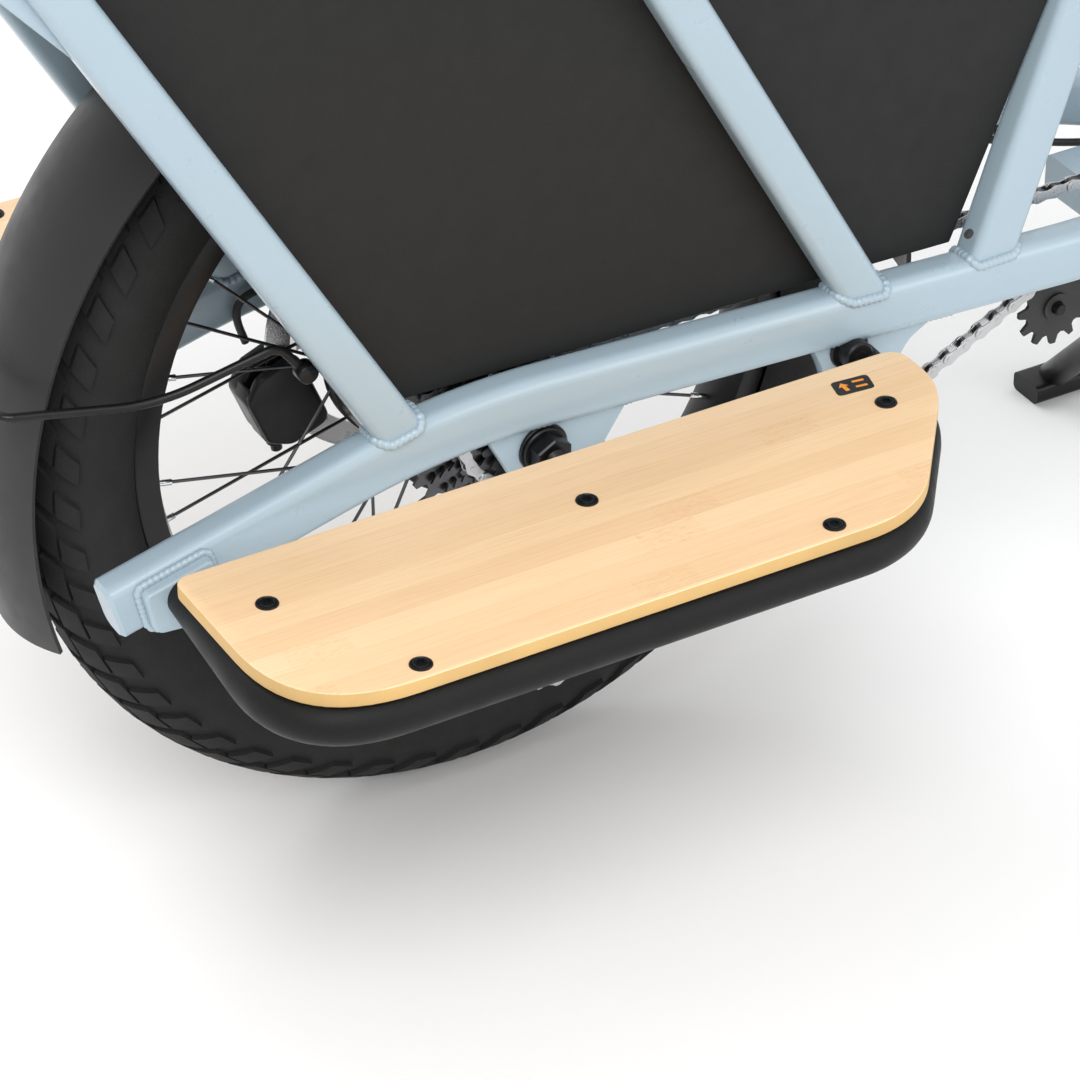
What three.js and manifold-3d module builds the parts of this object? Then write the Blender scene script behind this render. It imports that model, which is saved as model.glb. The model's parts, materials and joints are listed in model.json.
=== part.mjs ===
// A long-tail electric cargo bicycle: hub motor, side frames with bamboo running boards, a rear rack
// over a 20 inch wheel, a 24 inch wheel in a short suspension fork, and a two-legged centre stand.
// Millimetres. +X is forward, +Y is the rider's left, +Z is up. While it is built, the rear axle is the
// origin; the last lines move the ground to Z = 0 and the middle of the length to X = 0.
import * as THREE from "three";
import { mergeVertices } from "three/addons/utils/BufferGeometryUtils.js";
import Module from "manifold-3d";

const wasm = await Module();
wasm.setup();

// ---- Driving dimensions ----------------------------------------------------------------------------

const GAP = 0.4; // between pieces that touch
const REAR_TYRE_R = 278; // 20 x 3.0
const REAR_SECTION_R = 36.5;
const FRONT_TYRE_R = 318; // 24 x 2.6
const FRONT_SECTION_R = 32.5;
const TYRE_WALL = 5;
const WHEELBASE = 1330;
const GROUND_Z = -REAR_TYRE_R;

const RAIL_Y = 100; // centre plane of each side frame
const RAIL_W = 24;
const RAIL_H = 35;
const RAIL_REAR_SLOPE = 0.26;
const RAIL_FRONT_SLOPE = -0.0435;
const TAIL_X = -269;
const HOOP_Z = 423; // centre of the rack hoop
const HOOP_R = 14;
const HOOP_TAIL_X = -352;
const DROPOUT_T = 8;

const BB_X = 630; // bottom bracket
const BB_Z = -20;
const BB_SHELL_R = 22;
const BB_SHELL_HALF = 50;
const SEAT_ANGLE = THREE.MathUtils.degToRad(70);
const SEAT_TUBE_R = 19;
const SEAT_TUBE_LENGTH = 520;
const SEATPOST_R = 15.45;
const SADDLE_HEIGHT = 615; // along the seat tube, from the bottom bracket to the saddle clamp

const HEAD_ANGLE = THREE.MathUtils.degToRad(68);
const FORK_OFFSET = 50;
const CROWN_S = 400; // distances along the steering axis, from the foot of the axle's offset
const HEAD_TUBE_S = 442;
const HEAD_TUBE_LENGTH = 160;
const FORK_LEG_Y = 66;
const BAR_HALF = 335;
const BAR_R = 11.1;

const CHAIN_Y = -76;
const CHAIN_PITCH = 12.7;
const CHAIN_HALF_HEIGHT = 4.2;
const CHAIN_WIDTH = 6;
const CHAIN_CLEARANCE = 1.2; // between the chain's inner side and the faceted wheels inside it
const COG_TEETH = 18;
const RING_TEETH = 36;
const IDLER_TEETH = 12;
const PULLEY_TEETH = 11;
const GUIDE_PULLEY = [28, -94];
const TENSION_PULLEY = [22, -166];
const IDLER = [377, -36.8];

const CRANK_LENGTH = 165;
const PEDAL_Y = 168;
const STAND_X = 536;
const STAND_Z = -140;
const STAND_FOOT_Y = 150;

const DECK_TOP_Z = 13;
const DECK_T = 9;
const DECK_TUBE_R = 13;
const DECK_TUBE_Z = -10;

// ---- Materials -------------------------------------------------------------------------------------

const finish = (color, roughness, metalness) =>
  new THREE.MeshStandardMaterial({ color, roughness, metalness });
const PAINT = () => finish(0xbed3df, 0.42, 0.1);
const BLACK_METAL = () => finish(0x222222, 0.45, 0.6);
const BLACK_PLASTIC = () => finish(0x333333, 0.55, 0);
const TYRE_RUBBER = () => finish(0x2b2b2b, 0.85, 0);
const GRIP_RUBBER = () => finish(0x1f1f1f, 0.8, 0);
const STEEL = () => finish(0xa9a9a9, 0.3, 0.9);
const BAMBOO = () => finish(0xf0cb98, 0.5, 0);
const CLEAR = () => finish(0xe8eef2, 0.1, 0);
const RED_LENS = () => finish(0xa51414, 0.2, 0);
const SADDLE_SKIN = () => finish(0x1b1b1b, 0.6, 0);

// ---- Solids ----------------------------------------------------------------------------------------

// A geometry as a manifold solid with its faces outwards; a solid is passed through.
function solid(shape) {
  if (!shape.isBufferGeometry) return shape;
  const bare = shape.clone();
  bare.deleteAttribute("normal");
  bare.deleteAttribute("uv");
  const merged = mergeVertices(bare, 1e-3);
  const triVerts = new Uint32Array(merged.index.array);
  const vertProperties = merged.attributes.position.array;
  const made = new wasm.Manifold(new wasm.Mesh({ numProp: 3, vertProperties, triVerts }));
  if (made.volume() > 0) return made;
  for (let i = 0; i < triVerts.length; i += 3) {
    [triVerts[i + 1], triVerts[i + 2]] = [triVerts[i + 2], triVerts[i + 1]];
  }
  return new wasm.Manifold(new wasm.Mesh({ numProp: 3, vertProperties, triVerts }));
}

const join = (...shapes) => shapes.map(solid).reduce((a, b) => a.add(b));
const cut = (base, ...tools) => tools.map(solid).reduce((a, b) => a.subtract(b), solid(base));

function geometryOf(shape) {
  if (shape.isBufferGeometry) return shape;
  const mesh = shape.getMesh();
  const geometry = new THREE.BufferGeometry();
  geometry.setAttribute("position", new THREE.BufferAttribute(mesh.vertProperties, 3));
  geometry.setIndex(new THREE.BufferAttribute(mesh.triVerts, 1));
  return geometry;
}

// Adds one named mesh to a group.
function piece(parent, name, shape, material) {
  const geometry = geometryOf(solid(shape));
  geometry.computeVertexNormals();
  const mesh = new THREE.Mesh(geometry, material);
  mesh.name = name;
  parent.add(mesh);
  return mesh;
}

// The same geometry on the other side of the bicycle.
const mirrored = (shape) => geometryOf(solid(shape)).clone().scale(1, -1, 1);

// Adds a piece of the right side and its mirror image on the left side.
function pair(parent, name, rightShape, material) {
  piece(parent, name + "_right", rightShape, material());
  piece(parent, name + "_left", mirrored(rightShape), material());
}

// ---- Shapes ----------------------------------------------------------------------------------------

const vec = (x, y, z) => new THREE.Vector3(x, y, z);

// A closed outline through corners [x, y, radius], each rounded over its radius.
function outline(corners) {
  const shape = new THREE.Shape();
  const count = corners.length;
  corners.forEach(([x, y, r = 0], i) => {
    const at = new THREE.Vector2(x, y);
    const before = corners[(i + count - 1) % count];
    const after = corners[(i + 1) % count];
    const back = new THREE.Vector2(before[0] - x, before[1] - y).normalize();
    const ahead = new THREE.Vector2(after[0] - x, after[1] - y).normalize();
    const reach = r / Math.tan(back.angleTo(ahead) / 2);
    const start = at.clone().addScaledVector(back, reach);
    const end = at.clone().addScaledVector(ahead, reach);
    if (i === 0) shape.moveTo(start.x, start.y);
    else shape.lineTo(start.x, start.y);
    if (r > 0) shape.quadraticCurveTo(x, y, end.x, end.y);
  });
  shape.closePath();
  return shape;
}

// A path through points [x, y, z, reach], each bend starting and ending that far from its point.
function bentPath(points) {
  const path = new THREE.CurvePath();
  let from = vec(...points[0].slice(0, 3));
  for (let i = 1; i < points.length; i++) {
    const corner = vec(...points[i].slice(0, 3));
    const reach = points[i][3] || 0;
    if (i === points.length - 1 || reach === 0) {
      path.add(new THREE.LineCurve3(from, corner));
      from = corner;
      continue;
    }
    const next = vec(...points[i + 1].slice(0, 3));
    const start = corner.clone().add(from.clone().sub(corner).setLength(reach));
    const end = corner.clone().add(next.clone().sub(corner).setLength(reach));
    path.add(new THREE.LineCurve3(from, start));
    path.add(new THREE.QuadraticBezierCurve3(start, corner, end));
    from = end;
  }
  return path;
}

const roundSection = (r, sides) => {
  const shape = new THREE.Shape();
  for (let i = 0; i < sides; i++) {
    const angle = (2 * Math.PI * (i + 0.5)) / sides;
    const [x, y] = [r * Math.cos(angle), r * Math.sin(angle)];
    if (i === 0) shape.moveTo(x, y);
    else shape.lineTo(x, y);
  }
  shape.closePath();
  return shape;
};

// A rectangle with rounded corners: across the bicycle by up.
const boxSection = (w, h, r) =>
  outline([
    [-w / 2, -h / 2, r],
    [w / 2, -h / 2, r],
    [w / 2, h / 2, r],
    [-w / 2, h / 2, r],
  ]);

const sweep = (path, section, steps, curveSegments = 2) =>
  new THREE.ExtrudeGeometry(section, { extrudePath: path, steps, curveSegments });

const tube = (points, r, sides, steps) => sweep(bentPath(points), roundSection(r, sides), steps);

// A straight member of a given section between two points.
const strut = (from, to, section, curveSegments = 2) =>
  sweep(new THREE.LineCurve3(vec(...from), vec(...to)), section, 1, curveSegments);

const rod = (from, to, r, sides = 12) => strut(from, to, roundSection(r, sides));

// A plate standing in the XZ plane: its outline in x and z, its thickness from y upwards.
const uprightPlate = (shape, y, thickness, curveSegments = 6) =>
  new THREE.ExtrudeGeometry(shape, { depth: thickness, bevelEnabled: false, curveSegments })
    .rotateX(Math.PI / 2)
    .translate(0, y + thickness, 0);

// A flat plate: its outline in x and y, its thickness from z upwards.
const flatPlate = (shape, z, thickness, curveSegments = 6) =>
  new THREE.ExtrudeGeometry(shape, { depth: thickness, bevelEnabled: false, curveSegments })
    .translate(0, 0, z);

const block = (w, d, h, x, y, z) => new THREE.BoxGeometry(w, d, h).translate(x, y, z);

// A turned piece about the Y axis, from the [radius, y] points of its closed profile.
const turned = (profile, segments) =>
  new THREE.LatheGeometry(
    [...profile, profile[0]].map(([r, y]) => new THREE.Vector2(r, y)),
    segments,
  );

const disc = (outer, inner, y0, y1, segments = 24) =>
  turned([[inner, y0], [outer, y0], [outer, y1], [inner, y1]], segments);

// A short upright cylinder across the bicycle, from y0 to y1.
const crossPin = (r, x, z, y0, y1, sides = 16) => rod([x, y0, z], [x, y1, z], r, sides);

const pitchRadius = (teeth) => CHAIN_PITCH / (2 * Math.sin(Math.PI / teeth));

// The radius of a chain wheel without its teeth.
const bodyRadius = (teeth) => pitchRadius(teeth) - CHAIN_HALF_HEIGHT - CHAIN_CLEARANCE;

// ---- Wheels ----------------------------------------------------------------------------------------

// A hollow tyre that is open towards the rim.
function tyreGeometry(outerR, sectionR) {
  const centre = outerR - sectionR;
  const opening = THREE.MathUtils.degToRad(36);
  const arc = (r, steps, from, to) =>
    Array.from({ length: steps + 1 }, (_, i) => {
      const angle = from + ((to - from) * i) / steps;
      return [centre - r * Math.cos(angle), r * Math.sin(angle)];
    });
  const outside = arc(sectionR, 8, opening, 2 * Math.PI - opening);
  const inside = arc(sectionR - TYRE_WALL, 4, 2 * Math.PI - opening, opening);
  return turned([...outside, ...inside], 32);
}

// A box-section rim with two flanges for the tyre's beads.
function rimGeometry(beadR, innerR, half) {
  const wall = 3;
  return turned(
    [
      [innerR, -half * 0.5],
      [innerR + 4, -half],
      [beadR, -half],
      [beadR - 8, -half + wall + 2],
      [beadR - 8, half - wall - 2],
      [beadR, half],
      [innerR + 4, half],
      [innerR, half * 0.5],
    ],
    32,
  );
}

// Spokes laced from the flanges of a hub to the rim, alternately leading and trailing.
function spokes(flangeR, flangeY, rimR, count, lead) {
  return Array.from({ length: count }, (_, i) => {
    const side = i % 2 ? 1 : -1;
    const turn = Math.floor(i / 2) % 2 ? 1 : -1;
    const rimAngle = (2 * Math.PI * (i + 0.5)) / count;
    const hubAngle = rimAngle + turn * lead;
    const hub = [flangeR * Math.cos(hubAngle), side * flangeY, flangeR * Math.sin(hubAngle)];
    const rim = [rimR * Math.cos(rimAngle), side * 5, rimR * Math.sin(rimAngle)];
    return rod(hub, rim, 1.4, 3);
  });
}

// A brake rotor: a disc with windows between six arms.
function rotorGeometry(outerR, innerR, y) {
  const ringPoint = (r, angle) => new THREE.Vector2(r * Math.cos(angle), r * Math.sin(angle));
  const circle = (r, sides) =>
    Array.from({ length: sides }, (_, i) => ringPoint(r, (2 * Math.PI * i) / sides));
  const shape = new THREE.Shape(circle(outerR, 30));
  shape.holes.push(new THREE.Path(circle(innerR, 12)));
  for (let i = 0; i < 6; i++) {
    const angle = (Math.PI * i) / 3;
    shape.holes.push(
      new THREE.Path([
        ringPoint(innerR + 8, angle + 0.2),
        ringPoint(outerR - 16, angle + 0.1),
        ringPoint(outerR - 14, angle + 0.5),
        ringPoint(outerR - 16, angle + 0.92),
        ringPoint(innerR + 8, angle + 0.8),
      ]),
    );
  }
  return uprightPlate(shape, y, 2);
}

const REAR_BEAD_R = 212;
const REAR_RIM_INNER = 195;
const MOTOR_FLANGE_Y = 33;
const MOTOR_R = 66;
const AXLE_R = 7;

function rearWheel() {
  const group = new THREE.Group();
  piece(group, "rear_tyre", tyreGeometry(REAR_TYRE_R, REAR_SECTION_R), TYRE_RUBBER());
  piece(group, "rear_rim", rimGeometry(REAR_BEAD_R, REAR_RIM_INNER, 19), BLACK_METAL());
  const bore = AXLE_R + GAP;
  const motor = turned(
    [
      [bore, -92],
      [15, -92],
      [15, -50],
      [54, -42],
      [MOTOR_R, -MOTOR_FLANGE_Y - 3],
      [MOTOR_R, MOTOR_FLANGE_Y + 3],
      [54, 42],
      [22, 52],
      [22, 65],
      [bore, 65],
    ],
    24,
  );
  const laced = spokes(MOTOR_R - 5, MOTOR_FLANGE_Y, REAR_RIM_INNER - 1.6, 18, 0.42);
  piece(group, "rear_hub", join(motor, ...laced), BLACK_METAL());
  piece(group, "rear_rotor", rotorGeometry(90, 23, 62), STEEL());
  return group;
}

function cassette() {
  const cogR = bodyRadius(COG_TEETH);
  const chainEdge = CHAIN_Y + CHAIN_WIDTH / 2 + 0.6;
  const profile = [
    [15.6, -53],
    [66, -53],
    [66, -56],
    [54, -60],
    [44, -66],
    [40, chainEdge],
    [cogR, chainEdge],
    [cogR, -80],
    [24, -86],
    [15.6, -88],
  ];
  return turned(profile, 24);
}

const FRONT_BEAD_R = 262;
const FRONT_RIM_INNER = 245;
const FRONT_FLANGE_R = 29;

// The front wheel, about its own axle.
function frontWheel() {
  const group = new THREE.Group();
  piece(group, "front_tyre", tyreGeometry(FRONT_TYRE_R, FRONT_SECTION_R), TYRE_RUBBER());
  piece(group, "front_rim", rimGeometry(FRONT_BEAD_R, FRONT_RIM_INNER, 17), BLACK_METAL());
  const hub = turned(
    [
      [6, -45.4],
      [11, -45.4],
      [14, -34],
      [FRONT_FLANGE_R, -33],
      [FRONT_FLANGE_R, -30],
      [14, -28],
      [14, 28],
      [FRONT_FLANGE_R, 30],
      [FRONT_FLANGE_R, 33],
      [20, 35],
      [20, 43],
      [11, 45.4],
      [6, 45.4],
    ],
    20,
  );
  const laced = spokes(FRONT_FLANGE_R - 3, 31.5, FRONT_RIM_INNER - 1.6, 16, 0.9);
  piece(group, "front_hub", join(hub, ...laced), BLACK_METAL());
  piece(group, "front_rotor", rotorGeometry(90, 21, 40), STEEL());
  return group;
}

// ---- Frame -----------------------------------------------------------------------------------------

const seatDirection = [-Math.cos(SEAT_ANGLE), Math.sin(SEAT_ANGLE)];
const alongSeat = (t, y = 0) => [BB_X + seatDirection[0] * t, y, BB_Z + seatDirection[1] * t];

const FRONT_AXLE = [WHEELBASE, GROUND_Z + FRONT_TYRE_R];
const STEER_FOOT = [
  FRONT_AXLE[0] - FORK_OFFSET * Math.sin(HEAD_ANGLE),
  FRONT_AXLE[1] - FORK_OFFSET * Math.cos(HEAD_ANGLE),
];
const alongSteer = (s) => [
  STEER_FOOT[0] - Math.cos(HEAD_ANGLE) * s,
  0,
  STEER_FOOT[1] + Math.sin(HEAD_ANGLE) * s,
];

// The centre of a side rail: the tail climbs to a crest over the axle and then falls gently forwards.
const RAIL_CREST = [-61.8, 35.4];
const railZ = (x) =>
  RAIL_CREST[1] + (x - RAIL_CREST[0]) * (x < RAIL_CREST[0] ? RAIL_REAR_SLOPE : RAIL_FRONT_SLOPE);

const DOWN_TUBE = [
  [...alongSteer(HEAD_TUBE_S + 78)],
  [745, 0, 10, 110],
  [BB_X + 8, 0, BB_Z + 4],
];

// The block behind the bottom bracket that ties the two side frames together.
const YOKE = [170, 76, 26];
const yoke = (margin) => block(...YOKE.map((side) => side + 2 * margin), BB_X - 95, 0, BB_Z);

function mainFrame() {
  const headFrom = alongSteer(HEAD_TUBE_S);
  const headTo = alongSteer(HEAD_TUBE_S + HEAD_TUBE_LENGTH);
  const lug = uprightPlate(
    outline([
      [STAND_X - 24, STAND_Z - 14, 14],
      [STAND_X + 22, STAND_Z - 14, 14],
      [STAND_X + 45, -24, 0],
      [STAND_X - 24, -24, 0],
    ]),
    -22,
    44,
  );
  const frame = join(
    rod(headFrom, headTo, 26, 20),
    sweep(bentPath(DOWN_TUBE), boxSection(56, 74, 16), 12),
    crossPin(BB_SHELL_R, BB_X, BB_Z, -BB_SHELL_HALF, BB_SHELL_HALF, 20),
    rod(alongSeat(0), alongSeat(SEAT_TUBE_LENGTH), SEAT_TUBE_R, 20),
    strut(alongSeat(150), [792, 0, 40], boxSection(26, 30, 6)),
    yoke(0),
    lug,
  );
  const headLine = [alongSteer(HEAD_TUBE_S - 5), alongSteer(HEAD_TUBE_S + HEAD_TUBE_LENGTH + 5)];
  return cut(
    frame,
    rod(...headLine, 17, 20),
    rod(alongSeat(190), alongSeat(SEAT_TUBE_LENGTH + 5), SEATPOST_R + GAP, 20),
    crossPin(12.4, BB_X, BB_Z, -BB_SHELL_HALF - 5, BB_SHELL_HALF + 5, 16),
    crossPin(8 + GAP, STAND_X, STAND_Z, -40, 40),
  );
}

// Where each side-frame strut leaves the rail and where it reaches the rack hoop.
const STRUT_W = 22;
const STRUTS = [
  { foot: -85, top: [-312, RAIL_Y], depth: 27 },
  { foot: 222, top: [-5, RAIL_Y], depth: 28 },
  { foot: 299, top: [466, 64], depth: 32 },
];

// The right side frame: rail, three struts, dropout plate, front gusset and tail socket.
function sideFrame() {
  const y = -RAIL_Y;
  const rail = sweep(
    bentPath([
      [TAIL_X, y, railZ(TAIL_X)],
      [RAIL_CREST[0], y, RAIL_CREST[1], 65],
      [425, y, railZ(425), 70],
      [545, -42, 2, 30],
      [BB_X - 34, -34, -6],
    ]),
    boxSection(RAIL_W, RAIL_H, 8),
    30,
    1,
  );
  const struts = STRUTS.map(({ foot, top, depth }) =>
    strut(
      [foot, y, railZ(foot)],
      [top[0], -top[1], HOOP_Z],
      boxSection(STRUT_W, depth, 6),
      1,
    ),
  );
  const web = uprightPlate(
    outline([
      [-246, 292],
      [-302, 404],
      [-346, 404],
    ]),
    y - 3,
    6,
  );
  const dropout = cut(
    uprightPlate(
      outline([
        [-40, 24],
        [64, 24],
        [26, -34, 12],
        [22, -62, 10],
        [-6, -62, 10],
        [-18, -18, 12],
      ]),
      y - DROPOUT_T / 2,
      DROPOUT_T,
    ),
    crossPin(AXLE_R + GAP, 0, 0, y - 10, y + 10),
  );
  const gusset = uprightPlate(
    outline([
      [178, 16],
      [284, 14],
      [250, -6, 18],
      [234, -30, 10],
      [196, -30, 10],
      [188, -6, 10],
    ]),
    y - 5,
    10,
  );
  const socket = uprightPlate(
    outline([
      [-258, -3, 4],
      [-216, 8, 4],
      [-208, -20, 10],
      [-224, -32, 8],
      [-252, -30, 8],
    ]),
    y - RAIL_W / 2 - 10,
    14,
  );
  const frame = join(rail, ...struts, web, dropout, gusset, socket);
  const above = block(1400, 200, 60, 0, y + 40, HOOP_Z + 30);
  return cut(frame, above, yoke(GAP), hoopTube(HOOP_R + GAP + 0.2));
}

const HOOP_SEAT_X = alongSeat((HOOP_Z - BB_Z) / Math.sin(SEAT_ANGLE))[0];

// The rack hoop runs from the seat tube round the tail and back.
function hoopTube(r) {
  const rightHalf = [
    [HOOP_SEAT_X, -SEAT_TUBE_R, HOOP_Z],
    [HOOP_SEAT_X - 2, -64, HOOP_Z, 24],
    [340, -RAIL_Y, HOOP_Z, 60],
    [HOOP_TAIL_X, -RAIL_Y, HOOP_Z, 48],
  ];
  const leftHalf = rightHalf.map(([x, y, z, reach]) => [x, -y, z, reach]).reverse();
  return tube([...rightHalf, ...leftHalf], r, 8, 48);
}

function rackHoop() {
  const bridgeX = HOOP_SEAT_X - 36;
  const bridge = rod([bridgeX, -72, HOOP_Z], [bridgeX, 72, HOOP_Z], 9, 8);
  const seatTube = rod(alongSeat(300), alongSeat(560), SEAT_TUBE_R + GAP + 0.2, 20);
  return cut(join(hoopTube(HOOP_R), bridge), seatTube);
}

function rackPlatform() {
  const z = HOOP_Z + HOOP_R + GAP;
  const plate = flatPlate(
    outline([
      [-348, -98, 30],
      [330, -98, 30],
      [330, 98, 30],
      [-348, 98, 30],
    ]),
    z,
    9,
  );
  const slots = [-1, 1].flatMap((side) =>
    [-1, 1].map((end) => block(210, 30, 20, -9 + end * 160, side * 52, z + 4)),
  );
  return cut(plate, ...slots);
}

// The closed panel that keeps feet and coats out of the rear wheel.
function wheelPanel() {
  const top = HOOP_Z - HOOP_R - 6;
  const { foot, top: head, depth } = STRUTS[2];
  const lean = (head[0] - foot) / (HOOP_Z - railZ(foot));
  const behindFront = (z) => foot + lean * (z - railZ(foot)) - (depth / 2) * Math.hypot(1, lean) - 2;
  return uprightPlate(
    outline([
      [-92, 48],
      [60, 45.5],
      [behindFront(39.5), 39.5],
      [behindFront(top - 60), top - 60, 30],
      [340, top],
      [-304, top],
    ]),
    -86.6,
    2.4,
  );
}

const deckOutline = outline([
  [-247, -133.5, 10],
  [-247, -280, 72],
  [141, -280, 74],
  [221, -178.6, 63],
  [221, -133.5, 14],
]);

function deckTube() {
  const hoop = tube(
    [
      [-232, -RAIL_Y - RAIL_W / 2 - 10 - GAP - 1.2, DECK_TUBE_Z],
      [-244, -271, DECK_TUBE_Z, 64],
      [136, -271, DECK_TUBE_Z, 34],
      [210, -177, DECK_TUBE_Z, 30],
      [213, -RAIL_Y - 5 - GAP - 1, DECK_TUBE_Z],
    ],
    DECK_TUBE_R,
    8,
    28,
  );
  const innerBar = block(444, 26, 9, -16, -173, DECK_TUBE_Z + DECK_TUBE_R - 4.5);
  return join(hoop, innerBar);
}

// ---- Fenders ---------------------------------------------------------------------------------------

// A curved channel round a wheel, over less than half a turn, its angles measured from +X upwards.
function fenderGeometry(edgeR, crown, half, from, to) {
  const wall = 2.4;
  const steps = 4;
  const arc = (shift) =>
    Array.from({ length: steps + 1 }, (_, i) => {
      const across = -1 + (2 * i) / steps;
      return [edgeR + shift + crown * (1 - across * across), across * half];
    });
  const full = turned([...arc(wall), ...arc(0).reverse()], 32);
  const reach = edgeR * 3;
  const corner = (angle, far) => new THREE.Vector2(far * Math.cos(angle), far * Math.sin(angle));
  const wedge = new THREE.Shape([
    corner(0, 0),
    corner(from, reach),
    corner((from + to) / 2, reach * 1.6),
    corner(to, reach),
  ]);
  return solid(full).intersect(solid(uprightPlate(wedge, -2 * half, 4 * half)));
}

function rearFender() {
  const start = THREE.MathUtils.degToRad(-2);
  const middle = THREE.MathUtils.degToRad(100);
  const end = THREE.MathUtils.degToRad(196);
  const front = fenderGeometry(287, 12, 47, start, middle);
  const rear = fenderGeometry(287, 12, 47, middle, end);
  const tongue = block(40, 40, 130, 0, 0, 0);
  return join(front, rear).add(solid(tongue.translate(-60, 0, 352)));
}

// One wire from the right strut, round the outside of the fender, to the left strut.
function fenderStay() {
  const half = [
    [-138, -84, 84],
    [-153, -82, 103, 8],
    [-222, -72, 82, 24],
    [-306, -54, 90, 8],
  ];
  const other = half.map(([x, y, z, reach]) => [x, -y, z, reach]).reverse();
  return tube([...half, ...other], 2.6, 6, 32);
}

// ---- Drivetrain ------------------------------------------------------------------------------------

const GUIDE_R = pitchRadius(PULLEY_TEETH);
const WHEELS = [
  { centre: [0, 0], r: pitchRadius(COG_TEETH), turn: 1 },
  { centre: GUIDE_PULLEY, r: GUIDE_R, turn: -1 },
  { centre: TENSION_PULLEY, r: GUIDE_R, turn: 1 },
  { centre: IDLER, r: pitchRadius(IDLER_TEETH), turn: -1 },
  { centre: [BB_X, BB_Z], r: pitchRadius(RING_TEETH), turn: 1 },
];

// The closed line of the chain, shifted outwards: tangents between the wheels, and arcs round them.
function chainLine(shift) {
  const rounds = WHEELS.map(({ centre, r, turn }) => ({ centre, turn, r: r + turn * shift }));
  const headings = rounds.map((a, i) => {
    const b = rounds[(i + 1) % rounds.length];
    const [dx, dz] = [b.centre[0] - a.centre[0], b.centre[1] - a.centre[1]];
    const gain = (b.turn * b.r - a.turn * a.r) / Math.hypot(dx, dz);
    return Math.atan2(dz, dx) - Math.asin(gain);
  });
  const points = [];
  rounds.forEach(({ centre, r, turn }, i) => {
    const arrive = headings[(i + rounds.length - 1) % rounds.length];
    const full = 2 * Math.PI;
    const sweepAngle = (((turn * (headings[i] - arrive)) % full) + full) % full;
    const steps = Math.max(3, Math.ceil(sweepAngle / 0.3));
    for (let k = 0; k <= steps; k++) {
      const angle = arrive + (turn * sweepAngle * k) / steps - (turn * Math.PI) / 2;
      points.push(new THREE.Vector2(centre[0] + r * Math.cos(angle), centre[1] + r * Math.sin(angle)));
    }
  });
  return points;
}

function chain() {
  const loop = new THREE.Shape(chainLine(CHAIN_HALF_HEIGHT));
  loop.holes.push(new THREE.Path(chainLine(-CHAIN_HALF_HEIGHT)));
  return uprightPlate(loop, CHAIN_Y - CHAIN_WIDTH / 2, CHAIN_WIDTH);
}

// A derailleur: its arm from the dropout, and a cage of two plates joined by the pulley axles.
function derailleur() {
  const plate = (y) => {
    const [gx, gz] = GUIDE_PULLEY;
    const [tx, tz] = TENSION_PULLEY;
    return uprightPlate(
      outline([
        [gx - 13, gz + 13, 10],
        [gx + 13, gz + 13, 10],
        [tx + 13, tz - 13, 10],
        [tx - 13, tz - 13, 10],
      ]),
      y,
      2,
      3,
    );
  };
  const arm = strut([10, -95, -76], [22, -93, -100], boxSection(14, 24, 5));
  const knuckle = crossPin(9, 8, -72, -95.4, -86, 12);
  return join(
    plate(-88),
    plate(-68),
    crossPin(3.6, ...GUIDE_PULLEY, -94, -67, 10),
    crossPin(3.6, ...TENSION_PULLEY, -88, -67, 10),
    arm,
    knuckle,
  );
}

const pulley = (teeth, half) =>
  disc(bodyRadius(teeth), 4.4, CHAIN_Y - half, CHAIN_Y + half, 16);

// The idler's plate hangs below the rail, inside the chain.
function idlerBracket() {
  const [x, z] = IDLER;
  const arm = outline([
    [x - 12, z + 10, 8],
    [470, -11.5, 4],
    [500, -13, 4],
    [500, -25, 6],
    [x + 8, z - 12, 8],
    [x - 12, z - 12, 8],
  ]);
  return join(uprightPlate(arm, -70, 4, 3), crossPin(4, x, z, -84, -67, 10));
}

const RING_Y = [CHAIN_Y - 1.5, CHAIN_Y + 1.5];
const CRANK_Y = 104;
const CRANK_SECTION = [26, 14]; // up by across

function chainring() {
  return disc(bodyRadius(RING_TEETH), 20, ...RING_Y, 30);
}

function crankRight() {
  const arm = strut([0, -CRANK_Y, 0], [CRANK_LENGTH, -CRANK_Y, 0], boxSection(...CRANK_SECTION, 5));
  const shapes = [
    crossPin(12, 0, 0, -CRANK_Y, 60, 16),
    crossPin(40, 0, 0, -91, RING_Y[0] - GAP, 20),
    crossPin(15, 0, 0, -CRANK_Y - 7, -88, 16),
    crossPin(13, CRANK_LENGTH, 0, -CRANK_Y - 7, -CRANK_Y + 7, 16),
  ];
  return cut(join(arm, ...shapes), crossPin(6.5, CRANK_LENGTH, 0, -115, -85, 12));
}

function crankLeft() {
  const arm = strut([0, CRANK_Y, 0], [-CRANK_LENGTH, CRANK_Y, 0], boxSection(...CRANK_SECTION, 5));
  const shapes = [
    crossPin(15, 0, 0, 53, CRANK_Y + 7, 16),
    crossPin(13, -CRANK_LENGTH, 0, CRANK_Y - 7, CRANK_Y + 7, 16),
  ];
  return cut(
    join(arm, ...shapes),
    crossPin(12 + GAP, 0, 0, 50, 60 + GAP, 16),
    crossPin(6.5, -CRANK_LENGTH, 0, 85, 115, 12),
  );
}

// A flat pedal about its own axle; side is -1 for the right.
function pedal(side) {
  const frame = flatPlate(boxSection(94, 96, 14), -9, 18, 3);
  const windows = [-1, 1].map((end) => block(26, 70, 30, end * 24, 0, 0));
  const body = geometryOf(cut(frame, ...windows)).translate(0, side * PEDAL_Y, 0);
  return join(body, crossPin(6, 0, 0, side * 94, side * (PEDAL_Y - 20), 12));
}

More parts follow.
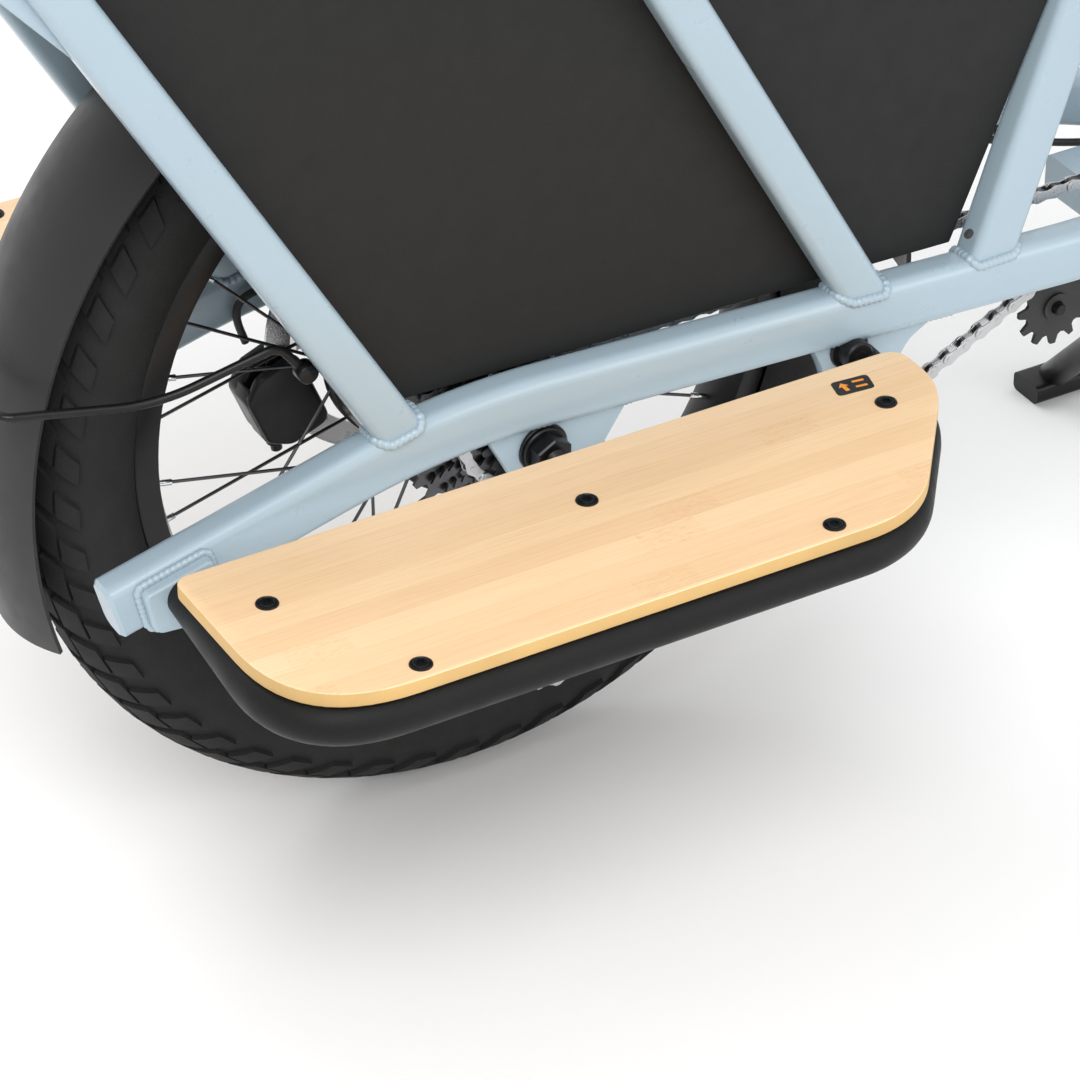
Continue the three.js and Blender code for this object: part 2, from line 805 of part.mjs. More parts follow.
// The fixed axle with a flanged nut on the outside of each dropout.
function rearAxle() {
  const nuts = [-1, 1].flatMap((side) => {
    const face = RAIL_Y + DROPOUT_T / 2 + GAP;
    return [
      crossPin(15, 0, 0, side * face, side * (face + 3), 16),
      crossPin(12.5, 0, 0, side * face, side * (face + 14), 6),
    ];
  });
  return join(crossPin(AXLE_R, 0, 0, -127, 127, 16), ...nuts);
}

// ---- Rear brake, stand and battery -----------------------------------------------------------------

// A disc caliper about the rotor's edge, open towards the wheel's centre.
function caliperGeometry(rotorR, rotorY) {
  const body = block(58, 30, 44, 0, rotorY + 5, rotorR - 2);
  const slot = block(80, 7, 60, 0, rotorY + 1, rotorR - 18);
  return cut(body, slot);
}

function rearCaliper() {
  const turn = THREE.MathUtils.degToRad(-112);
  return geometryOf(caliperGeometry(90, 62)).rotateY(turn);
}

function standLegs() {
  const legs = [-1, 1].map((side) =>
    tube(
      [
        [STAND_X, side * 30, STAND_Z],
        [STAND_X + 3, side * 62, STAND_Z - 36, 26],
        [STAND_X + 18, side * STAND_FOOT_Y, GROUND_Z + 10],
      ],
      10,
      8,
      8,
    ),
  );
  const feet = [-1, 1].map((side) =>
    block(44, 28, 14, STAND_X + 18, side * STAND_FOOT_Y, GROUND_Z + 7),
  );
  const hubs = [-1, 1].map((side) =>
    crossPin(15, STAND_X, STAND_Z, side * (22 + GAP), side * 38, 16),
  );
  return join(crossPin(8, STAND_X, STAND_Z, -38, 38), ...legs, ...feet, ...hubs);
}

// The battery lies on the upper face of the down tube.
function battery() {
  const [from, to] = [DOWN_TUBE[0], DOWN_TUBE[1]];
  const length = Math.hypot(to[0] - from[0], to[2] - from[2]);
  const along = [(to[0] - from[0]) / length, (to[2] - from[2]) / length];
  const at = (t, lift) => [
    from[0] + along[0] * t + along[1] * lift,
    0,
    from[2] + along[1] * t - along[0] * lift,
  ];
  return strut(at(88, 68), at(470, 68), boxSection(74, 58, 16), 3);
}

function rearHose() {
  return tube(
    [
      [-94, 80, 0],
      [-104, 82, 32, 24],
      [330, 83, 18, 60],
      [500, 52, -22, 40],
      [530, 46, -23],
    ],
    2.5,
    6,
    44,
  );
}

// ---- Seat ------------------------------------------------------------------------------------------

function saddle() {
  const rows = [
    [-128, 78, -2],
    [-118, 92, 2],
    [-70, 96, 4],
    [-10, 70, 0],
    [50, 36, -2],
    [118, 24, -4],
    [132, 15, -8],
  ];
  const right = rows.map(([x, half]) => new THREE.Vector2(x, -half));
  const left = rows.map(([x, half]) => new THREE.Vector2(x, half)).reverse();
  const pad = flatPlate(new THREE.Shape([...right, ...left]), 26, 42);
  const clamp = block(44, 40, 22, 0, 0, 12);
  const rails = [-1, 1].map((side) =>
    tube(
      [
        [-96, side * 30, 30],
        [-60, side * 24, 14, 20],
        [50, side * 20, 14, 20],
        [92, side * 12, 30],
      ],
      3.5,
      6,
      8,
    ),
  );
  return join(pad, clamp, ...rails);
}

function seatGroup() {
  const group = new THREE.Group();
  const top = alongSeat(SADDLE_HEIGHT);
  const post = rod(alongSeat(330), alongSeat(SADDLE_HEIGHT), SEATPOST_R, 20);
  piece(group, "seatpost", post, BLACK_METAL());
  const seat = geometryOf(saddle()).clone().translate(top[0], 0, top[2] + 5);
  piece(group, "saddle", seat, SADDLE_SKIN());
  return group;
}

function seatCollar() {
  const [from, to] = [alongSeat(SEAT_TUBE_LENGTH - 16), alongSeat(SEAT_TUBE_LENGTH + 3)];
  const ring = rod(from, to, SEAT_TUBE_R + 6, 20);
  const ears = strut(
    alongSeat(SEAT_TUBE_LENGTH - 15),
    alongSeat(SEAT_TUBE_LENGTH + 2),
    boxSection(26, 30, 4),
  ).translate(-22, 0, -8);
  return cut(
    join(ring, ears),
    rod(alongSeat(400), alongSeat(SEAT_TUBE_LENGTH + GAP), SEAT_TUBE_R + GAP, 20),
    rod(alongSeat(400), alongSeat(560), SEATPOST_R + GAP, 20),
  );
}

// The quick-release lever turns on a pin through the collar's right ear.
const COLLAR_PIN = [-30, -20];

function collarLever() {
  const [lower, upper] = [alongSeat(SEAT_TUBE_LENGTH - 14), alongSeat(SEAT_TUBE_LENGTH + 1)];
  const cam = rod(lower, upper, 6.4, 12).translate(COLLAR_PIN[0], COLLAR_PIN[1], -8);
  const middle = alongSeat(SEAT_TUBE_LENGTH - 6.5);
  const handle = strut(
    [middle[0] + COLLAR_PIN[0], COLLAR_PIN[1] - 5, middle[2] - 8],
    [middle[0] + COLLAR_PIN[0] + 56, COLLAR_PIN[1] - 15, middle[2] + 12],
    boxSection(5, 12, 1.5),
    1,
  );
  return join(cam, handle);
}

// The tail light stands behind the hoop on a foot of the same moulding.
function tailLight() {
  const x = HOOP_TAIL_X - HOOP_R - GAP;
  const lens = strut([x - 20, 0, HOOP_Z - 4], [x - 6, 0, HOOP_Z - 4], boxSection(28, 84, 8), 3);
  return join(lens, block(7, 40, 18, x - 3.5, 0, HOOP_Z - 4));
}

// ---- Steering --------------------------------------------------------------------------------------

// In this group Z runs up the steering axis and X points forwards, across it.
const LOWER_TOP = 336;
const STEERER_R = 14.3;

function forkCrown() {
  const stanchions = [-1, 1].map((side) =>
    rod([FORK_OFFSET, side * FORK_LEG_Y, 176], [FORK_OFFSET, side * FORK_LEG_Y, CROWN_S + 8], 15, 16),
  );
  const crown = block(FORK_OFFSET + 48, 2 * FORK_LEG_Y + 44, 28, FORK_OFFSET / 2, 0, CROWN_S + 14);
  return join(crown, rod([0, 0, CROWN_S], [0, 0, 655], STEERER_R, 20), ...stanchions);
}

function forkLowers() {
  const legs = [-1, 1].map((side) => {
    const [x, y] = [FORK_OFFSET, side * FORK_LEG_Y];
    const leg = rod([x, y, 6], [x, y, LOWER_TOP], 20, 16);
    const dropout = block(30, 20, 40, x, side * (FORK_LEG_Y - 10), 0);
    return join(leg, dropout);
  });
  const bores = [-1, 1].map((side) => {
    const [x, y] = [FORK_OFFSET, side * FORK_LEG_Y];
    return rod([x, y, 110], [x, y, LOWER_TOP + 30], 15 + GAP, 16);
  });
  const arch = block(14, 2 * FORK_LEG_Y - 34, 12, FORK_OFFSET + 16, 0, LOWER_TOP + 6);
  const risers = [-1, 1].map((side) =>
    block(26, 14, 40, FORK_OFFSET + 24, side * (FORK_LEG_Y - 9), LOWER_TOP - 8),
  );
  const axle = crossPin(5.6, FORK_OFFSET, 0, -FORK_LEG_Y, FORK_LEG_Y, 12);
  return cut(join(...legs, arch, ...risers, axle), ...bores);
}

function frontFender() {
  const deg = THREE.MathUtils.degToRad;
  const front = fenderGeometry(324, 6, 40, deg(50), deg(130));
  const rear = fenderGeometry(324, 6, 40, deg(130), deg(200));
  return geometryOf(join(front, rear)).rotateY(deg(22)).translate(FORK_OFFSET, 0, 0);
}

const BAR_X = 69;
const BAR_Z = 667;

// One half of the handlebar's centre line; the other is its mirror image.
const BAR_RIGHT = [
  [BAR_X, 0, BAR_Z],
  [BAR_X, -58, BAR_Z, 26],
  [BAR_X - 20, -128, BAR_Z + 92, 40],
  [BAR_X - 98, -BAR_HALF, BAR_Z + 88],
];

function handlebar() {
  const left = BAR_RIGHT.slice(1).map(([x, y, z, reach]) => [x, -y, z, reach]);
  return tube([...[...BAR_RIGHT].reverse().slice(0, -1), ...left], BAR_R, 8, 34);
}

// A point on the outer straight of the right half of the bar, a distance in from its end.
function onBar(inset) {
  const end = vec(...BAR_RIGHT[3]);
  const inward = vec(...BAR_RIGHT[2].slice(0, 3)).sub(end).normalize();
  return end.clone().addScaledVector(inward, inset).toArray();
}

// A sleeve round the bar between two insets.
function sleeve(from, to, r, sides = 12) {
  const bore = rod(onBar(from - 4), onBar(to + 4), BAR_R + GAP, 12);
  return cut(rod(onBar(from), onBar(to), r, sides), bore);
}

function brakePerch() {
  const [x, y, z] = onBar(150);
  const neck = strut([x + 6, y, z], [x + 32, y, z - 2], boxSection(13, 16, 3), 1);
  const body = strut([x + 32, y - 8, z - 3], [x + 44, y + 40, z - 5], boxSection(18, 18, 5), 1);
  const bore = rod(onBar(100), onBar(190), BAR_R + GAP, 12);
  return cut(join(rod(onBar(143), onBar(158), 17, 12), neck, body), bore);
}

const LEVER_PIVOT = (() => {
  const [x, y, z] = onBar(150);
  return [x + 44, y - 22, z - 4];
})();

function brakeLever() {
  const [x, y, z] = LEVER_PIVOT;
  return tube(
    [
      [x - 2, y + 8, z],
      [x + 10, y - 22, z, 12],
      [x - 20, y - 108, z - 2],
    ],
    6,
    8,
    8,
  );
}

// A thumb paddle on a ring that turns round the bar.
function thumbLever() {
  const [x, y, z] = onBar(173);
  const paddle = strut([x - 12, y + 4, z - 10], [x - 34, y - 18, z - 20], boxSection(18, 6, 2), 1);
  const bore = rod(onBar(155), onBar(190), BAR_R + GAP, 12);
  return cut(join(rod(onBar(168.5), onBar(180), 15, 12), paddle), bore);
}

// Hoses leave both brake perches, meet before the stem and enter the headset together.
function cockpitHoses() {
  const [x, y, z] = onBar(150);
  const right = [
    [x + 45, y + 51, z - 6],
    [x + 60, y + 90, z - 10, 18],
    [BAR_X + 62, -40, BAR_Z - 2, 40],
    [BAR_X - 6, -6, 618, 24],
    [24, -2, 616],
  ];
  const left = right.map(([px, py, pz, reach]) => [px, -py, pz, reach]);
  return join(tube(right, 2.6, 6, 16), tube(left, 2.6, 6, 16), block(8, 14, 8, 25, 0, 616));
}

function headlight() {
  const front = FORK_OFFSET / 2 + (FORK_OFFSET + 48) / 2 + GAP;
  const lamp = rod([front + 12, 0, CROWN_S + 40], [front + 46, 0, CROWN_S + 40], 27, 20);
  return join(lamp, block(20, 24, 36, front + 10, 0, CROWN_S + 18));
}

function frontCaliper() {
  const caliper = geometryOf(caliperGeometry(90, 40)).rotateY(THREE.MathUtils.degToRad(-62));
  return caliper.translate(FORK_OFFSET, 0, 0);
}

function stem() {
  const clampBody = rod([0, 0, 613], [0, 0, 655], 21, 20);
  const arm = strut([0, 0, 636], [BAR_X, 0, BAR_Z], boxSection(34, 32, 8));
  const barClamp = crossPin(24, BAR_X, BAR_Z, -24, 24, 20);
  return cut(
    join(clampBody, arm, barClamp),
    rod([0, 0, 600], [0, 0, 660], STEERER_R + GAP, 20),
    crossPin(BAR_R + GAP, BAR_X, BAR_Z, -40, 40, 16),
  );
}

function steering() {
  const group = new THREE.Group();
  group.position.set(STEER_FOOT[0], 0, STEER_FOOT[1]);
  group.rotation.y = HEAD_ANGLE - Math.PI / 2;
  piece(group, "fork_crown", forkCrown(), BLACK_METAL());
  piece(group, "stem", stem(), BLACK_METAL());
  piece(group, "handlebar", handlebar(), BLACK_METAL());
  pair(group, "grip", sleeve(2, 132, 16), GRIP_RUBBER);
  pair(group, "lever_clamp", brakePerch(), BLACK_METAL);
  pair(group, "brake_lever", brakeLever(), BLACK_METAL);
  piece(group, "throttle_lever", mirrored(thumbLever()), BLACK_PLASTIC());
  piece(group, "shifter_lever", thumbLever(), BLACK_PLASTIC());
  piece(group, "cockpit_hoses", cockpitHoses(), BLACK_PLASTIC());
  const display = flatPlate(boxSection(46, 78, 8), BAR_Z + 24 + GAP, 14, 2).translate(BAR_X, 0, 0);
  piece(group, "display", display, BLACK_PLASTIC());
  piece(group, "headlight", headlight(), CLEAR());
  piece(group, "front_caliper", frontCaliper(), BLACK_METAL());
  piece(group, "fork_lowers", forkLowers(), BLACK_METAL());
  piece(group, "front_fender", frontFender(), BLACK_PLASTIC());
  const wheel = frontWheel();
  wheel.position.set(FORK_OFFSET, 0, 0);
  group.add(wheel);
  return group;
}

// ---- The bicycle -----------------------------------------------------------------------------------

// Every piece that is fixed to the frame, and the seat, the stand and the drivetrain.
function rearHalf() {
  const group = new THREE.Group();
  piece(group, "main_frame", mainFrame(), PAINT());
  pair(group, "side_frame", sideFrame(), PAINT);
  piece(group, "rack_hoop", rackHoop(), PAINT());
  piece(group, "rack_platform", rackPlatform(), BLACK_PLASTIC());
  pair(group, "wheel_panel", wheelPanel(), BLACK_PLASTIC);
  pair(group, "deck_board", flatPlate(deckOutline, DECK_TOP_Z - DECK_T, DECK_T), BAMBOO);
  pair(group, "deck_tube", deckTube(), BLACK_METAL);
  piece(group, "rear_fender", rearFender(), BLACK_PLASTIC());
  piece(group, "fender_stay", fenderStay(), BLACK_METAL());
  piece(group, "rear_axle", rearAxle(), BLACK_METAL());
  piece(group, "rear_caliper", rearCaliper(), BLACK_METAL());
  piece(group, "rear_brake_hose", rearHose(), BLACK_PLASTIC());
  piece(group, "battery", battery(), BLACK_PLASTIC());
  piece(group, "tail_light", tailLight(), RED_LENS());
  piece(group, "seat_collar", seatCollar(), BLACK_METAL());
  piece(group, "collar_lever", collarLever(), BLACK_METAL());
  piece(group, "stand_legs", standLegs(), BLACK_METAL());
  piece(group, "chain", chain(), STEEL());
  piece(group, "cassette", cassette(), BLACK_METAL());
  piece(group, "derailleur", derailleur(), BLACK_METAL());
  piece(group, "guide_pulley", pulley(PULLEY_TEETH, 3), BLACK_PLASTIC()).position.set(
    GUIDE_PULLEY[0],
    0,
    GUIDE_PULLEY[1],
  );
  piece(group, "tension_pulley", pulley(PULLEY_TEETH, 3), BLACK_PLASTIC()).position.set(
    TENSION_PULLEY[0],
    0,
    TENSION_PULLEY[1],
  );
  piece(group, "idler_wheel", pulley(IDLER_TEETH, 4), BLACK_PLASTIC()).position.set(IDLER[0], 0, IDLER[1]);
  piece(group, "idler_bracket", idlerBracket(), BLACK_METAL());
  return group;
}

function cranks() {
  const group = new THREE.Group();
  group.position.set(BB_X, 0, BB_Z);
  piece(group, "crank_right", crankRight(), BLACK_METAL());
  piece(group, "crank_left", crankLeft(), BLACK_METAL());
  piece(group, "chainring", chainring(), BLACK_METAL());
  piece(group, "pedal_right", pedal(-1), BLACK_PLASTIC()).position.x = CRANK_LENGTH;
  piece(group, "pedal_left", pedal(1), BLACK_PLASTIC()).position.x = -CRANK_LENGTH;
  return group;
}

const bicycle = new THREE.Group();
bicycle.add(rearHalf(), rearWheel(), cranks(), seatGroup(), steering());

const box = new THREE.Box3().setFromObject(bicycle, true);
bicycle.position.set(-(box.min.x + box.max.x) / 2, 0, -GROUND_Z);

export default bicycle;
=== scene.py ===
# A long-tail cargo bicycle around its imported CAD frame. Lengths in the tables below are millimetres about
# the rear axle: +X forwards, +Y to the rider's left, +Z up. Objects are made in metres in the frame's axes.
import bmesh
import bpy
import json
import math
import numpy as np
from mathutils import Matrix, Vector


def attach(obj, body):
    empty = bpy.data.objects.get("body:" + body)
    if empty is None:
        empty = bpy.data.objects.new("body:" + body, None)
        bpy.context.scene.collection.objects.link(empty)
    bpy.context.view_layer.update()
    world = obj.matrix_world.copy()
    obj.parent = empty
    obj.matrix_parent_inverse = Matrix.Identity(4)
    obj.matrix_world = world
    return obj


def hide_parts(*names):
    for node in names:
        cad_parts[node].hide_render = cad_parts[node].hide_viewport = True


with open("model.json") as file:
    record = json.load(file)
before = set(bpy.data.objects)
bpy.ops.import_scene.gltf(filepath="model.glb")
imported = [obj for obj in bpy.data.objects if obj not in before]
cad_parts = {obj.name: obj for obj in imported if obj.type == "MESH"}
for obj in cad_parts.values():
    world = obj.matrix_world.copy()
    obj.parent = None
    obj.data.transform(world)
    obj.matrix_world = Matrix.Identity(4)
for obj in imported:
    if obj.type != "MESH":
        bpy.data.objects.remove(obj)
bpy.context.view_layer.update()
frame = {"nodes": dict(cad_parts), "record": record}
JOINTS = {j["name"]: j for j in frame["record"]["behaviour"]["joints"]}

AXLE = np.array(JOINTS["rear_wheel_spin"]["pos_m"]) * 1000
STEER_FOOT = (1283.641, 0.0, 21.27)
RAKE = math.radians(-22)


# ---- Places ----------------------------------------------------------------------------------------

def row(points):
    """Millimetres about the rear axle to metres in the frame's axes."""
    return (np.asarray(points, float).reshape(-1, 3) + [AXLE[0], 0, AXLE[2]]) / 1000


def steer(points):
    """Millimetres about the steering axis' foot, Z along the axis, to millimetres about the rear axle."""
    p = np.asarray(points, float).reshape(-1, 3)
    c, s = math.cos(RAKE), math.sin(RAKE)
    turned = np.stack([p[:, 0] * c + p[:, 2] * s, p[:, 1], p[:, 2] * c - p[:, 0] * s], 1)
    return turned + STEER_FOOT


# ---- Materials -------------------------------------------------------------------------------------

def new_material(name, color, rough, metal=0.0, coat=0.0, shine=0.5):
    m = bpy.data.materials.new(name)
    m.use_nodes = True
    b = m.node_tree.nodes["Principled BSDF"]
    b.inputs["Base Color"].default_value = (*color, 1)
    b.inputs["Roughness"].default_value = rough
    b.inputs["Metallic"].default_value = metal
    b.inputs["Coat Weight"].default_value = coat
    b.inputs["Coat Roughness"].default_value = 0.15
    b.inputs["Specular IOR Level"].default_value = shine
    return m, m.node_tree, b


def node(tree, kind, **values):
    n = tree.nodes.new(kind)
    for key, value in values.items():
        if key in n.inputs:
            n.inputs[key].default_value = value
        else:
            setattr(n, key, value)
    return n


def coords(tree, scale=(1, 1, 1), location=(0, 0, 0)):
    """Object coordinates in metres, scaled."""
    tex = node(tree, "ShaderNodeTexCoord")
    mapping = node(tree, "ShaderNodeMapping")
    mapping.inputs["Scale"].default_value = scale
    mapping.inputs["Location"].default_value = location
    tree.links.new(tex.outputs["Object"], mapping.inputs["Vector"])
    return mapping.outputs["Vector"]


def noise(tree, vector, scale, detail=4.0, rough=0.5):
    n = node(tree, "ShaderNodeTexNoise")
    n.inputs["Scale"].default_value = scale
    n.inputs["Detail"].default_value = detail
    n.inputs["Roughness"].default_value = rough
    tree.links.new(vector, n.inputs["Vector"])
    return n.outputs["Fac"]


def ramp(tree, value, stops):
    r = node(tree, "ShaderNodeValToRGB")
    elements = r.color_ramp.elements
    while len(elements) < len(stops):
        elements.new(0.5)
    for element, (at, color) in zip(elements, stops):
        element.position = at
        element.color = (*color, 1) if len(color) == 3 else (color[0],) * 3 + (1,)
    tree.links.new(value, r.inputs["Fac"])
    return r.outputs["Color"]


def bump(tree, b, height, distance, strength=1.0):
    n = node(tree, "ShaderNodeBump")
    n.inputs["Distance"].default_value = distance
    n.inputs["Strength"].default_value = strength
    tree.links.new(height, n.inputs["Height"])
    tree.links.new(n.outputs["Normal"], b.inputs["Normal"])


def textured(name, color, rough, metal=0.0, coat=0.0, grain=900, depth=0.0002, vary=0.06, spread=0.08,
             shine=0.5):
    """A finish with fine grain, a faint drift of colour and uneven gloss."""
    m, tree, b = new_material(name, color, rough, metal, coat, shine)
    v = coords(tree)
    dark = tuple(c * (1 - vary) for c in color)
    light = tuple(min(1, c * (1 + vary)) for c in color)
    drift = noise(tree, v, 14, 5)
    tree.links.new(ramp(tree, drift, [(0.3, dark), (0.7, light)]), b.inputs["Base Color"])
    gloss = noise(tree, v, 60, 6)
    low, high = max(0.02, rough - spread), min(1, rough + spread)
    tree.links.new(ramp(tree, gloss, [(0.25, (low,)), (0.75, (high,))]), b.inputs["Roughness"])
    bump(tree, b, noise(tree, v, grain, 3), depth)
    return m


def math_node(tree, op, a, b=None):
    n = node(tree, "ShaderNodeMath", operation=op)
    for i, value in enumerate((a, b)):
        if value is None:
            continue
        if isinstance(value, (int, float)):
            n.inputs[i].default_value = value
        else:
            tree.links.new(value, n.inputs[i])
    return n.outputs[0]


def mixed(tree, amount, a, b, blend="MIX"):
    """Colour a blended with b; a value is a socket, a number or a colour."""
    n = node(tree, "ShaderNodeMixRGB", blend_type=blend)
    for name, value in (("Fac", amount), ("Color1", a), ("Color2", b)):
        if isinstance(value, float):
            n.inputs[name].default_value = value
        elif isinstance(value, tuple):
            n.inputs[name].default_value = (*value, 1)
        else:
            tree.links.new(value, n.inputs[name])
    return n.outputs[0]


def chance(tree, *numbers):
    """A random value from 0 to 1 for each whole number, or for each pair of them."""
    if len(numbers) == 1:
        n = node(tree, "ShaderNodeTexWhiteNoise", noise_dimensions="1D")
        tree.links.new(numbers[0], n.inputs["W"])
        return n.outputs["Value"]
    n = node(tree, "ShaderNodeTexWhiteNoise", noise_dimensions="2D")
    pair = node(tree, "ShaderNodeCombineXYZ")
    for i, number in enumerate(numbers):
        tree.links.new(number, pair.inputs[i])
    tree.links.new(pair.outputs[0], n.inputs["Vector"])
    return n.outputs["Value"]


STRIP = 0.0185  # width of one bamboo strip, in metres
NODES_PER_METRE = 4.6
NODE_HALF = 0.085  # half the length of a node mark, as a share of the distance between nodes
RARITY = 0.72  # the share of nodes that show no mark
SEAM = 0.018  # the share of a strip's width that its glue line takes


def bamboo():
    """Strips laid side by side along X, each with its own tone, lengthwise grain and a few node marks."""
    m, tree, b = new_material("bamboo", (0.87, 0.62, 0.34), 0.42, coat=0.15)
    split = node(tree, "ShaderNodeSeparateXYZ")
    tree.links.new(coords(tree), split.inputs[0])
    x, y = split.outputs[0], split.outputs[1]
    strip = math_node(tree, "DIVIDE", y, STRIP)
    index = math_node(tree, "FLOOR", strip)
    within = math_node(tree, "FRACT", strip)
    tone = chance(tree, index)
    base = ramp(tree, tone, [
        (0.0, (0.86, 0.585, 0.340)), (0.5, (0.90, 0.630, 0.378)), (1.0, (0.94, 0.672, 0.415))])
    grain = noise(tree, coords(tree, (6, 420, 60)), 4.2, 6, 0.62)
    grain_color = ramp(tree, grain, [(0.30, (0.86, 0.80, 0.71)), (0.55, (1, 1, 1))])
    wood = mixed(tree, 0.7, base, grain_color, "MULTIPLY")
    # Node marks: short clusters of darker dashes, one here and there on a strip.
    shifted = math_node(tree, "ADD", math_node(tree, "MULTIPLY", x, NODES_PER_METRE),
                        math_node(tree, "MULTIPLY", tone, 31))
    along = math_node(tree, "ABSOLUTE", math_node(tree, "SUBTRACT", math_node(tree, "FRACT", shifted), 0.5))
    near = math_node(tree, "LESS_THAN", along, NODE_HALF)
    chosen = math_node(tree, "GREATER_THAN", chance(tree, index, math_node(tree, "FLOOR", shifted)), RARITY)
    dashes = noise(tree, coords(tree, (70, 900, 60)), 3.0, 3, 0.55)
    mark = math_node(tree, "MULTIPLY", math_node(tree, "MULTIPLY", near, chosen),
                     math_node(tree, "GREATER_THAN", dashes, 0.56))
    marked = mixed(tree, math_node(tree, "MULTIPLY", mark, 0.34), wood, (0.68, 0.36, 0.12))
    seam = math_node(tree, "LESS_THAN", within, SEAM)
    seamed = mixed(tree, math_node(tree, "MULTIPLY", seam, 0.22), marked, (0.62, 0.37, 0.16))
    tree.links.new(seamed, b.inputs["Base Color"])
    tree.links.new(ramp(tree, grain, [(0.3, (0.5,)), (0.7, (0.38,))]), b.inputs["Roughness"])
    bump(tree, b, grain, 0.00012)
    return m


PAINT = textured("blue_paint", (0.330, 0.424, 0.486), 0.33, coat=0.4, grain=700, depth=0.00008, vary=0.012)
WELD = textured("weld_paint", (0.330, 0.424, 0.486), 0.31, coat=0.4, grain=500, depth=0.0002, vary=0.03)
BAMBOO = bamboo()
BAMBOO_EDGE = textured("bamboo_edge", (0.60, 0.38, 0.14), 0.5, grain=400, depth=0.0002, vary=0.12)
BLACK_TUBE = textured("black_powder", (0.007, 0.007, 0.007), 0.46, grain=1500, depth=0.00025, shine=0.2)
BLACK_PANEL = textured("black_panel", (0.016, 0.016, 0.016), 0.6, grain=1200, depth=0.00012, vary=0.02,
                       shine=0.2)
BLACK_FENDER = textured("black_fender", (0.018, 0.018, 0.018), 0.42, grain=900, depth=0.00008, shine=0.35)
BLACK_PART = textured("black_anodised", (0.014, 0.014, 0.015), 0.34, metal=0.55, grain=1400, depth=0.0001)
BLACK_MATTE = textured("black_moulding", (0.018, 0.018, 0.018), 0.6, grain=1100, depth=0.0002)
RUBBER = textured("tyre_rubber", (0.013, 0.013, 0.013), 0.74, grain=700, depth=0.0003, vary=0.2, shine=0.3)
GRIP = textured("grip_rubber", (0.012, 0.012, 0.012), 0.75, grain=1300, depth=0.0004)
STEEL = textured("steel", (0.50, 0.50, 0.51), 0.28, metal=1.0, grain=900, depth=0.00008, vary=0.12)
DARK_STEEL = textured("dark_steel", (0.10, 0.10, 0.105), 0.36, metal=1.0, grain=900, depth=0.0001, vary=0.2)
SILVER = textured("nipple_silver", (0.75, 0.75, 0.76), 0.22, metal=1.0, grain=1200, depth=0.00005)
RED = textured("red_lens", (0.42, 0.008, 0.01), 0.12, coat=0.6, grain=260, depth=0.0002)
CLEAR = textured("clear_lens", (0.78, 0.82, 0.85), 0.1, coat=0.8, grain=240, depth=0.0003)
SCREEN = textured("screen", (0.006, 0.007, 0.009), 0.08, coat=0.8, grain=1500, depth=0.00002)
SKIN = textured("saddle_skin", (0.015, 0.015, 0.016), 0.5, grain=1600, depth=0.0006, vary=0.1)
ORANGE = textured("orange_print", (0.86, 0.30, 0.03), 0.4, grain=1200, depth=0.00004)


# ---- Meshes ----------------------------------------------------------------------------------------

class Shape:
    """Vertices and faces in millimetres about the rear axle."""

    def __init__(self):
        self.v, self.f, self.n = [], [], 0

    def add(self, verts, faces):
        verts = np.asarray(verts, float).reshape(-1, 3)
        self.v.append(verts)
        self.f += [tuple(i + self.n for i in f) for f in faces]
        self.n += len(verts)
        return self

    def merge(self, other):
        return self.add(np.concatenate(other.v), other.f)

    def moved(self, change):
        made = Shape()
        return made.add(change(np.concatenate(self.v)), self.f)

    def mirrored(self):
        made = Shape()
        verts = np.concatenate(self.v) * [1, -1, 1]
        return made.add(verts, [f[::-1] for f in self.f])


def make(name, shape, material, body, replaced=(), smooth=40, bevel=0.0, sub=0):
    """An object from a shape, shaded smooth except across sharp edges, riding on a body."""
    mesh = bpy.data.meshes.new(name)
    mesh.from_pydata(row(np.concatenate(shape.v)).tolist(), [], shape.f)
    mesh.validate()
    return dress(name, mesh, material, body, replaced, smooth, bevel, sub)


def dress(name, mesh, material, body, replaced=(), smooth=40, bevel=0.0, sub=0):
    mesh.materials.clear()
    mesh.materials.append(material)
    o = bpy.data.objects.new(name, mesh)
    bpy.context.scene.collection.objects.link(o)
    if bevel:
        mod = o.modifiers.new("bevel", "BEVEL")
        mod.width, mod.segments, mod.limit_method = bevel / 1000, 2, "ANGLE"
        mod.angle_limit = math.radians(35)
        mod.harden_normals = False
    if sub:
        mod = o.modifiers.new("smooth", "SUBSURF")
        mod.levels = mod.render_levels = sub
    mesh.polygons.foreach_set("use_smooth", [True] * len(mesh.polygons))
    mesh.set_sharp_from_angle(angle=math.radians(smooth))
    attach(o, body)
    if replaced:
        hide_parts(*([replaced] if isinstance(replaced, str) else replaced))
    return o


def refined(node_name, material, body, bevel=0.8, smooth=35):
    """A CAD node's own shape with rounded edges."""
    source = frame["nodes"][node_name]
    mesh = source.data.copy()
    bm = bmesh.new()
    bm.from_mesh(mesh)
    bmesh.ops.remove_doubles(bm, verts=bm.verts, dist=1e-6)
    bmesh.ops.dissolve_limit(bm, angle_limit=math.radians(1), verts=bm.verts, edges=bm.edges)
    bm.to_mesh(mesh)
    bm.free()
    return dress(node_name + "_finished", mesh, material, body, node_name, smooth, bevel)


